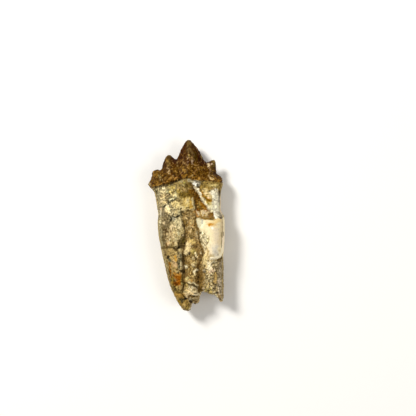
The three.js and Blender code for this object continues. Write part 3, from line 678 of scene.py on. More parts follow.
    (13.7, -29, 0.36, -0.4, "#6a5430"), (15.5, -33.2, 0.42, -0.8, "#33291a"),
    (14.9, -33.6, 0.34, -0.4, "#5c5240"), (16.4, -30.4, 0.45, -0.4, "#6b5c40"),
    (11, -32.6, 0.4, -0.5, "#5c4d2e"), (7.5, -31.1, 0.36, -0.4, "#59430f"),
    (7.4, -32.5, 0.5, -0.4, "#5a4518"), (15.6, -20.3, 0.28, -0.3, "#7a6848"),
    (12.4, -27.5, 0.42, 0.3, "#cfbe94"), (12.6, -29.2, 0.45, 0.3, "#cdb987"),
    (12, -31.6, 0.55, 0.3, "#b9a55c"), (11.8, -33.4, 0.55, 0.4, "#c0a860"),
    (13, -33.6, 0.42, 0.3, "#c4ae80"), (9.6, -32.2, 0.45, 0.3, "#b3a45a"),
    (16.8, -31.2, 0.34, 0.2, "#b7a688"), (16.4, -27.8, 0.45, 0.2, "#cbb69c"),
    (13.6, -17.9, 0.42, 0.3, "#d6caa2"), (8.8, -22.2, 0.42, 0.2, "#b9ac8c"),
]
CROWN_SPOTS = [
    (-10.5, 24.8, 0.5, -0.3, "#241403"), (-11.4, 23, 0.4, -0.3, "#2c1604"),
    (-3, 24.4, 0.65, -0.4, "#2a0c04"), (-1.9, 25.7, 0.5, -0.3, "#3d1a04"),
    (-5, 33.4, 0.6, -0.3, "#2c0800"), (-1, 35.5, 0.35, -0.3, "#2c0800"),
    (1.7, 35.5, 0.35, -0.3, "#3c2c02"), (0.5, 34.5, 0.35, -0.3, "#3c2a02"),
    (3.2, 28.6, 0.45, -0.3, "#3b1e02"), (0.4, 23.2, 0.4, -0.3, "#3a2806"),
    (8.6, 24.4, 0.4, -0.3, "#3c2200"), (9.5, 23.7, 0.35, -0.3, "#3e2402"),
    (11.8, 29.4, 0.35, -0.3, "#4c3206"), (4.2, 31.5, 0.4, -0.2, "#3e2a08"),
    (6.4, 26.2, 0.5, -0.3, "#3e2804"), (-10.4, 20.4, 0.4, -0.3, "#301204"),
    (-12.4, 22, 0.45, -0.3, "#3b2b08"), (-7.3, 25.4, 0.4, -0.3, "#4a2302"),
    (-2.1, 30.3, 0.55, -0.3, "#3d1e02"), (9.2, 27.4, 0.5, -0.3, "#3c2208"),
]
MARK_UNEVEN = (0.8, 1.2)  # the share by which a mark's height varies, and over what length


def small_forms(points):
    """The marks and spots of the upper face added up, each varied along its path by soft noise."""
    px, py = points[..., 0], points[..., 1]
    features = [ridge(path, width, rise) for path, width, rise, _ in MARKS]
    for at_x, at_y, width, rise, _ in SPOTS + CROWN_SPOTS:
        features.append(ridge([(at_x, at_y)], width, rise))
    return total(features, px, py) * (1 + uneven(points, MARK_UNEVEN, 13, cloud))


print(len(MARKS), "marks and", len(SPOTS + CROWN_SPOTS), "spots")

# %% [markdown]
# ## The grid
#
# A surface given as a function needs a grid of places to be worked out at. Rows run across the
# tooth, straight in the shaft and bent towards the broken end and the cusps. Rows and columns
# crowd where the surface turns over, so that steps in height stay about as long as steps sideways.

# %% Rows and columns
COLUMNS = 156
CROWDED = 0.16  # share of the columns that crowd, at each side
END_BEND = 6  # how quickly the rows straighten away from the broken end
CROWN_BEND = 7  # and away from the cusps
# Each zone of rows: where it ends as a share of the way up, and how many rows it has.
END_FACE = (0.032, 18)
ROW_ZONES = [(0.6, 142), (0.86, 92), (1, 62)]


def spaced_run(columns):
    """A run whose spacing grows evenly from zero over the crowded share and is even after it."""
    crowded = np.minimum(columns, CROWDED)
    return columns - crowded + crowded**2 / (2 * CROWDED)


def column_shares(count):
    """Columns that crowd alike at both sides: the run up to the middle, then the same mirrored."""
    u = np.linspace(0, 1, count + 1)
    run = spaced_run(np.minimum(u, 1 - u)) / spaced_run(0.5) / 2
    return np.where(u < 0.5, run, 1 - run)


def row_shares():
    """The first zone's spacing grows evenly from zero, and the others are even."""
    end, count = END_FACE
    shares = [end * (np.arange(count + 1) / count) ** 2]
    for stop, count in ROW_ZONES:
        shares.append(np.linspace(shares[-1][-1], stop, count + 1)[1:])
    return np.concatenate(shares)


def spread_grid(s, t):
    """The point between the two sides at share s, moved by the broken end's departure from its
    chord times (1 - t)^6 and by the cutting edge's departure from its chord times t^7."""
    left, right = along(left_side, t)[:, None, :2], along(right_side, t)[:, None, :2]
    end, edge = along(broken_end, s)[None, :, :2], along(cutting_edge, s)[None, :, :2]
    across, up = s[None, :, None], t[:, None, None]
    end_chord = left[0] * (1 - across) + right[0] * across
    edge_chord = left[-1] * (1 - across) + right[-1] * across
    place = left * (1 - across) + right * across
    place = place + (1 - up) ** END_BEND * (end - end_chord) + up**CROWN_BEND * (edge - edge_chord)
    return place[..., 0], place[..., 1], np.broadcast_to(end[..., 1], place.shape[:2])


rows, columns = row_shares(), column_shares(COLUMNS)
x, y, end_y = spread_grid(columns, rows)
print("grid of", *x.shape, "rows and columns,", 4 * (x.shape[0] - 1) * COLUMNS, "triangles")

# %% [markdown]
# ## The two faces
#
# Each grid point goes up to the upper face and down to the lower one. The height is the full
# height times (q(2 - q))^p, where q is the inward share. With p = 1/2 that is an ellipse, the
# round section of a root. Towards the crown p grows, and the section becomes a lens with a keen
# edge.

# %% Upper and lower face
UPPER_FACE = 8.7  # heights above and below the middle plane
LOWER_FACE = 8.3
WORN_FLAT = 0.45  # how much is worn off the lower face where the tooth lies on it
ROUND, KEEN = 0.5, 0.85  # the power p on the roots and on the crown
ROUND_UNTIL, KEEN_FROM = 19, 25  # where it changes, along Y
UPPER_FULLNESS = [
    (-43, 0.56), (-30, 0.82), (-12, 0.97), (2, 1), (14, 0.9), (19, 0.82), (30, 0.74),
]
LOWER_FULLNESS = [
    (-43, 0.58), (-30, 0.84), (-14, 0.98), (4, 1), (14, 0.93), (19, 0.84), (30, 0.74),
]

share = inward(x, y)
share[[0, -1]] = 0
share[:, [0, -1]] = 0
rolled = (share * (2 - share)) ** (ROUND + (KEEN - ROUND) * smooth(ROUND_UNTIL, KEEN_FROM, y))

WARP = (0.3, 1.7)  # how far the small forms stray from their drawn lines, over what length
flat_place = np.stack([x, y, 0 * x], -1)
ragged = flat_place + uneven(flat_place, WARP, (11, 12, 10))

# The small forms are drawn from above, so they stop at the wall, over these inward shares.
WALL_SHARES = (0.03, 0.13)
forms = smooth(*WALL_SHARES, share) * small_forms(ragged)
upper_z = rolled * (UPPER_FACE * graded(UPPER_FULLNESS, y) + total(UPPER_RELIEF, x, y) + forms)
lower_z = -rolled * (LOWER_FACE * graded(LOWER_FULLNESS, y) + total(LOWER_RELIEF, x, y))
print("the faces reach", upper_z.max().round(1), "and", lower_z.min().round(1), "mm")

# %% [markdown]
# ## The broken end
#
# A root is a tube: its pulp canal shows as a hollow where the root is snapped off. The end face
# is pushed in along the tooth by a wide smooth dish, and in its middle by the narrow canal. Round
# them the break is bare: dentine snaps in small steps and splinters, with no bark on it.

# %% Pulp hollow and bare break
PULP = {"x": 12.2, "z": 0.4, "half_width": 4.6, "half_height": 4.3, "depth": 4.2}
CANAL = {"half_width": 2.7, "half_height": 1.9, "depth": 2.6}
CANAL_WALL = (1.0, 0.55)  # shares of the canal's size between which its wall goes down
HOLLOW_REACH = 8  # how far in from the end the push fades out
JAGGED = (0.7, (1.3, 1, 2))  # how far the end's teeth stick out, and how big they are
JAGGED_OVER = (0.3, 2.5)  # the teeth fade out over these distances from the end
BREAK_DEPTH = (0.8, 0.35)  # the bare break fades out over these distances from the broken edge


def round_pulp(x, z, hollow):
    """How far a place is from the middle of the canal, as a share of the hollow's half width and
    half height: 0 in the middle, 1 on its edge."""
    across, up = x - PULP["x"], z - PULP["z"]
    return np.hypot(across / hollow["half_width"], up / hollow["half_height"])


def pushed_in(x, y, z):
    """y plus the dish's depth times (1 - r^2)^2 and the canal's times an ease, fading out away
    from the end. The end itself is jagged: soft noise moves it in and out a little."""
    fade = 1 - smooth(HOLLOW_REACH / 2, HOLLOW_REACH, y - end_y)
    dish = PULP["depth"] * np.maximum(0, 1 - round_pulp(x, z, PULP) ** 2) ** 2
    canal = CANAL["depth"] * smooth(*CANAL_WALL, round_pulp(x, z, CANAL))
    teeth = uneven(np.stack([x, 0 * x, z], -1), JAGGED, 19) * (1 - smooth(*JAGGED_OVER, y - end_y))
    return y + fade * (dish + canal) + teeth


upper = np.stack([x, pushed_in(x, y, upper_z), upper_z], -1)
lower = np.stack([x, pushed_in(x, y, lower_z), lower_z], -1)
edge_chain = along(broken_end, np.linspace(0, 1, STRETCHES))[:, :2].tolist()
bare = smooth(*BREAK_DEPTH, distance_to(edge_chain, x, y))
print("bare break over", round(float((bare > 0.5).mean() * 100), 1), "% of the grid")

# %% [markdown]
# ## Wrapping the drawing round the sides
#
# Marks and stains are drawn as seen from above. On the steep side walls such a drawing would smear
# straight down. So a point there is looked up on the drawing as far outside the outline as it lies
# down the wall, just as a sheet of paper wrapped round the tooth would have it.

# %% Wrapped places
WALL_TOP = 4.6  # height above the middle plane where the side walls begin
WRAP = 0.8  # millimetres on the drawing for each millimetre down the wall
LONGEST_WRAP = 9  # millimetres down the wall where the wrapping stops

plain = np.stack([x, y, UPPER_FACE * rolled], -1)
sideways = unit(np.cross(np.gradient(plain, axis=1), np.gradient(plain, axis=0))[..., :2])


def wrapped(drop):
    """The shift on the drawing: sideways, WRAP for each millimetre below the wall's top."""
    shift = WRAP * np.clip(WALL_TOP + drop, 0, LONGEST_WRAP)[..., None] * sideways
    return np.concatenate([shift, 0 * shift[..., :1]], -1)


# On each of the two faces, the shifts for the upper face's drawing and for the lower face's.
wrap_on_upper = wrapped(-UPPER_FACE * rolled), wrapped(UPPER_FACE * rolled)
wrap_on_lower = wrapped(LOWER_FACE * rolled), wrapped(-LOWER_FACE * rolled)
print("the drawing reaches", wrap_on_upper[0].max().round(1), "mm past the outline at the rim")

# %% [markdown]
# ## What the surface is made of
#
# Enamel, root bark, rock and the polished plate each have their own grain and gloss. A mask from
# 0 to 1 says how much of each there is at every point. The border between two of them is frayed by
# a little noise, as a real break is.

# %% Masks
# Half the width of each border, then how far it strays and over what length.
ENAMEL_EDGE, FIRM_EDGE, LOOSE_EDGE, PLATE_EDGE = 0.35, 0.5, 0.8, 0.4
ENAMEL_STRAY, ROCK_STRAY = (0.6, 2), (0.5, 2.2)
PLATE_STRAY, FOOT_STRAY = (4.6, 4.4), (6.5, (7, 9, 5))
PLATE_STRAYS = (5.5, 1.5)  # heights over which the plate's border comes to stray in full
PLATE_FOOT = (-3.2, -2.2)  # heights over which the plate sets in on the side
THIN_ROCK = 0.6  # the share of rock on the neck, where bark shows through
UNDER_ROCK = (2.6, 3.6)  # distances from the lower hollow's line over which its rock ends
ROCK_BAND = [
    (-1.9, 5), (-1.2, -4), (0.6, -6.5), (-0.6, -12), (-1.2, -17), (-1.3, -25), (-1.6, -33),
    (-0.6, -37), (1.4, -38), (1.6, -43), (6.8, -43), (6.7, -34), (5.9, -27), (6.4, -20),
    (8.2, -14), (6.4, -6), (5.6, -2), (4.4, 3), (3.5, 6),
]
ROCK_NECK = [
    (-2.4, 17.5), (-1, 15), (3, 13.6), (2.9, 8), (4.6, 6), (4.6, 12), (4.2, 19), (2, 20.5),
    (0.6, 19),
]
PLATE_SKIN = [
    (4.9, 3.4), (9, 2.7), (14.4, 2.5), (16.4, 3.2), (22, 4.4), (22, -14.5), (17.6, -15.8),
    (11.8, -16.8), (10.7, -14), (11, -12), (10.4, -10), (11.3, -7.5), (11.1, -5.4), (9, -3.6),
    (7.2, -2.8), (5.6, -1),
]
# Bark that is smoother than the rest, though not as smooth as the plate.
SMOOTH_BARK = [
    [
        (10.6, 12.2), (12.4, 16.8), (17.6, 16.6), (20, 12), (18.4, 4), (14.6, 3.2), (12.6, 6.2),
        (10.8, 9),
    ],
    [(-2.2, 9.4), (-1.6, 13), (0.4, 14), (2.4, 13.4), (2.7, 9.2), (0.6, 8.8)],
]
SMOOTH_BARK_SHARE = 0.55


def above_enamel_end(points):
    """Millimetres along Y from the line where the enamel ends, positive on the crown."""
    return points[..., 1] - np.interp(points[..., 0], *np.array(ENAMEL_END).T)


def enamel_mask(points):
    """1 above the line where the enamel ends, frayed."""
    height = above_enamel_end(points) + uneven(points, ENAMEL_STRAY, 21)
    return smooth(-ENAMEL_EDGE, ENAMEL_EDGE, height)


def rock_mask(points):
    """1 in the hollow between the roots, frayed. On the lower face the rock is a plain band."""
    px, py, pz = np.moveaxis(points, -1, 0)
    moved = uneven(points, ROCK_STRAY, 22)
    aside = px + moved
    above = patch(ROCK_BAND, 1, FIRM_EDGE)(aside, py + moved)
    above = np.maximum(above, patch(FLAKED_WEDGE, 1, FIRM_EDGE)(aside, py))
    above = np.maximum(above, THIN_ROCK * patch(ROCK_NECK, 1, LOOSE_EDGE)(aside, py))
    below = 1 - smooth(*UNDER_ROCK, distance_to(UNDER_HOLLOW, aside, py))
    return np.where(pz > 0, above, below) * (1 - enamel_mask(points))


def plate_mask(points):
    """1 on the plate, whose outer skin is whole, and about half on smooth bark. It reaches a
    little way down the side, where its border is more ragged."""
    px, py, pz = np.moveaxis(points, -1, 0)
    along_y = py + uneven(points, PLATE_STRAY, 24) * smooth(*PLATE_STRAYS, pz)
    whole = patch(PLATE_SKIN, 1, PLATE_EDGE)(px, along_y)
    for ring in SMOOTH_BARK:
        whole = np.maximum(whole, patch(ring, SMOOTH_BARK_SHARE, LOOSE_EDGE)(px, along_y))
    return whole * smooth(*PLATE_FOOT, pz + uneven(points, FOOT_STRAY, 23))


MASKS = {"enamel": enamel_mask, "rock": rock_mask, "plate": plate_mask}
for name, mask in MASKS.items():
    print(name, "covers", round(100 * float(mask(upper).mean())), "% of the upper grid")

# %% [markdown]
# ## The grain of the surface
#
# Now each point moves in or out along the surface's own direction. Bark is crazed into flakes,
# each a little higher or lower than the next, with pits where grains fell out. Rock is a heap of
# sand grains. Enamel has fine folds that run down from the cusps, and beads along the girdle.

# %% Fine relief
SAND_SHARE = [(-29, 0.45), (-25.5, 1)]  # the ribs at the rock's end are smoother than its sand
CREST_SHARPNESS = 3.2
LOW_FOLDS = (33, 27)  # along Y, where the long folds give way to the short ones
FOLD_SHARE = 0.8  # how high the folds come
# How far the enamel's folds, the break's steps and all the rest stray, and over what length.
FOLD_STRAY, STEP_STRAY, GRAIN_STRAY = (0.4, 1.1), (0.3, 0.9), (0.5, 1.3)
LOW_STRAY, CRINKLE = (2, 4), (0.25, 0.55)
# Sizes along X, Y and Z, first of the enamel's long and short folds.
LONG_FOLD, SHORT_FOLD = (0.85, 2.8, 0.85), (0.95, 1.1, 0.95)
FLAKE, PIT, SPLINTER = (2.1, 2.8, 2.1), (0.95, 1.15, 0.95), (1.7, 1.7, 1.2)
LUMP, SAND, BEAD = 2, 0.8, 1.05
FLAKE_CRACK, SPLINTER_CRACK = 0.09, 0.12  # half widths of the cracks between them
BEAD_REACH = 1.3  # how far the beads spread from the girdle's line
CRACKS_OPEN, PIT_EDGE, PITTED = (-0.25, 0.4), (0.44, 0.24), 0.1  # where cracks and pits set in
# How high each form stands in millimetres, and for the soft ones also over what length.
FLAKE_RISE, CRACK_DEPTH, PIT_DEPTH = 0.11, 0.4, 0.5
LUMP_RISE, SAND_RISE, SAND_TONE_RISE = 0.3, 0.55, 0.18
BEAD_RISE, FOLD_RISE, STEP_RISE, STEP_CRACK = 0.4, 0.28, 0.3, 0.18
STREAKS, SCALES, CHIPS = (0.12, (0.8, 4.5, 0.8)), (0.15, 0.8), (0.22, 0.9)
PLATE_WAVES, SWELLS = (0.06, 4), (0.2, 6)
FOLD_MIDDLE = 0.45  # the fold height that neither rises nor sinks
BREAK_KEEPS = 0.2  # the share of the other relief that is left on the bare break


def crests(points, size, seed):
    """Branching ridges: 1 along the lines where a cloud changes sign, falling to 0 beside them."""
    return np.clip(1 - CREST_SHARPNESS * np.abs(cloud(points, size, seed)), 0, 1)


def wrinkles(points):
    """The wrinkled enamel, from 0 in the furrows to 1 on the crests: long folds on the cusps,
    short branching ones low on the crown."""
    strayed = points + uneven(points, FOLD_STRAY, (61, 62, 63), cloud)
    low = smooth(*LOW_FOLDS, points[..., 1] + uneven(points, LOW_STRAY, 46))
    folds = FOLD_SHARE * crests(strayed, LONG_FOLD, seed=37)
    net = crests(strayed, SHORT_FOLD, seed=47)
    return folds + low * (net - folds) * FOLD_SHARE + uneven(points, CRINKLE, 64, cloud)


def fracture(points):
    """The bare break: flat steps of different heights, each one grain wide, with splinters."""
    strayed = points + uneven(points, STEP_STRAY, (65, 66, 67), cloud)
    _, to_edge, tone = grains(strayed, SPLINTER, seed=68)
    steps = STEP_RISE * tone - STEP_CRACK * bell(to_edge, SPLINTER_CRACK)
    return steps + uneven(points, CHIPS, 69)


def near_girdle(points, reach):
    """A bell of the distance to the girdle, the ring round the foot of the crown."""
    return bell(distance_to(GIRDLE, points[..., 0], points[..., 1]), reach)


def bark_height(points, strayed):
    """Crazed bark: flakes with open cracks between them, pits, and streaks along the root."""
    _, to_edge, tone = grains(strayed, FLAKE, seed=31)
    open_crack = smooth(*CRACKS_OPEN, clouds(points, 5, seed=32))
    flakes = FLAKE_RISE * tone - CRACK_DEPTH * open_crack * bell(to_edge, FLAKE_CRACK)
    pit_seed, _, pit_tone = grains(strayed, PIT, seed=33)
    pits = -PIT_DEPTH * smooth(*PIT_EDGE, pit_seed) * (pit_tone > PITTED)
    streaks = uneven(points, STREAKS, 34, cloud) + uneven(points, SCALES, 45)
    return flakes + pits + streaks


def sand_height(points, strayed):
    """Rock: round lumps, each covered with sand grains."""
    lump_seed, _, _ = grains(strayed, LUMP, seed=30)
    sand_seed, _, sand_tone = grains(strayed, SAND, seed=35)
    sand = LUMP_RISE * (0.5 - lump_seed) + SAND_RISE * (0.55 - sand_seed)
    return (sand + SAND_TONE_RISE * sand_tone) * graded(SAND_SHARE, points[..., 1])


def grain_height(points):
    """Millimetres to move each point outwards, a blend of each material's own relief."""
    enamel, rock, plate = enamel_mask(points), rock_mask(points), plate_mask(points)
    bark = (1 - enamel) * (1 - rock) * (1 - plate)
    strayed = points + uneven(points, GRAIN_STRAY, (42, 43, 44), cloud)
    height = bark * bark_height(points, strayed)
    height = height + rock * (1 - enamel) * sand_height(points, strayed)
    bead_seed, _, bead_tone = grains(strayed, BEAD, seed=39)
    beads = BEAD_RISE * near_girdle(points, BEAD_REACH) * (0.5 - bead_seed + 0.3 * bead_tone)
    height = height + enamel * (FOLD_RISE * (wrinkles(points) - FOLD_MIDDLE) + beads)
    height = height + plate * uneven(points, PLATE_WAVES, 40)
    height = height + (1 - plate) * uneven(points, SWELLS, 41)
    return height + bare * (fracture(points) - (1 - BREAK_KEEPS) * height)


def outward(points, side):
    """Unit normals of a grid: the cross product of its steps along rows and columns."""
    return unit(side * np.cross(np.gradient(points, axis=1), np.gradient(points, axis=0)))


def rim_of(grid):
    """The grid's first and last row and column, one after the other."""
    return np.concatenate([grid[0], grid[-1], grid[:, 0], grid[:, -1]])


upper_normal, lower_normal = outward(upper, 1), outward(lower, -1)
for edge in (np.s_[0], np.s_[-1], np.s_[:, 0], np.s_[:, -1]):
    shared = unit(upper_normal[edge] + lower_normal[edge])
    upper_normal[edge] = lower_normal[edge] = shared

upper_grain, lower_grain = grain_height(upper), grain_height(lower)
upper = upper + upper_grain[..., None] * upper_normal
lower = lower + lower_grain[..., None] * lower_normal
gap = np.abs(rim_of(upper) - rim_of(lower)).max()
print("the two faces meet at the rim within", float(gap), "mm")

# %% [markdown]
# ## Paint
#
# The stains of a fossil are laid here as a restorer would lay them on a cast: broad grounds first,
# then strokes. A stroke has a path, a reach, a colour and a strength. With a grain it breaks up
# into flecks of that size, as specks of iron and sand do.

# %% Colours and strokes
SPECK_EDGE = 0.08  # softness of a speck's edge, in steps of its noise
RAGGED = 0.5  # how much soft noise eats into a stroke's edge, as a share of its reach
STROKE_EDGE = (-0.1, 0.5)  # shares of the reach over which a stroke comes to full strength
SPECK_SEED = 60  # a stroke's specks start from this plus the number of points on its path


def tint(hexed):
    """A screen colour such as #c8a060 as linear light, by the sRGB curve."""
    value = np.array([int(hexed[k : k + 2], 16) for k in (1, 3, 5)]) / 255
    return np.where(value <= 0.04045, value / 12.92, ((value + 0.055) / 1.055) ** 2.4)


def specks(points, size, cover, seed):
    """1 on irregular flecks of about the given size that cover the given share, else 0."""
    size = np.asarray(size, float)
    noise = cloud(points, size, seed) + 0.5 * cloud(points, size / 2, seed + 1)
    level = 0.5 * (1 - 2 * cover)
    return smooth(level - SPECK_EDGE, level + SPECK_EDGE, noise)


def blend(paint, mask, colour):
    """The paint moved towards the colour by the mask's share."""
    return paint + mask[..., None] * (tint(colour) - paint)


def stroke(paint, points, rag, path, reach, colour, strength=1.0, size=None, cover=0.5):
    """Blends the colour in near the path. It is full to about half the reach, and its edge strays
    with the soft noise rag. With a size, it breaks up into specks that cover the given share."""
    near = 1 - distance_to(path, points[..., 0], points[..., 1]) / reach
    mask = strength * smooth(*STROKE_EDGE, near + RAGGED * rag)
    if size:
        mask = mask * specks(points, size, cover, SPECK_SEED + len(path))
    return blend(paint, mask, colour)


print("the tint #c8a060 as linear light is", tint("#c8a060").round(3))

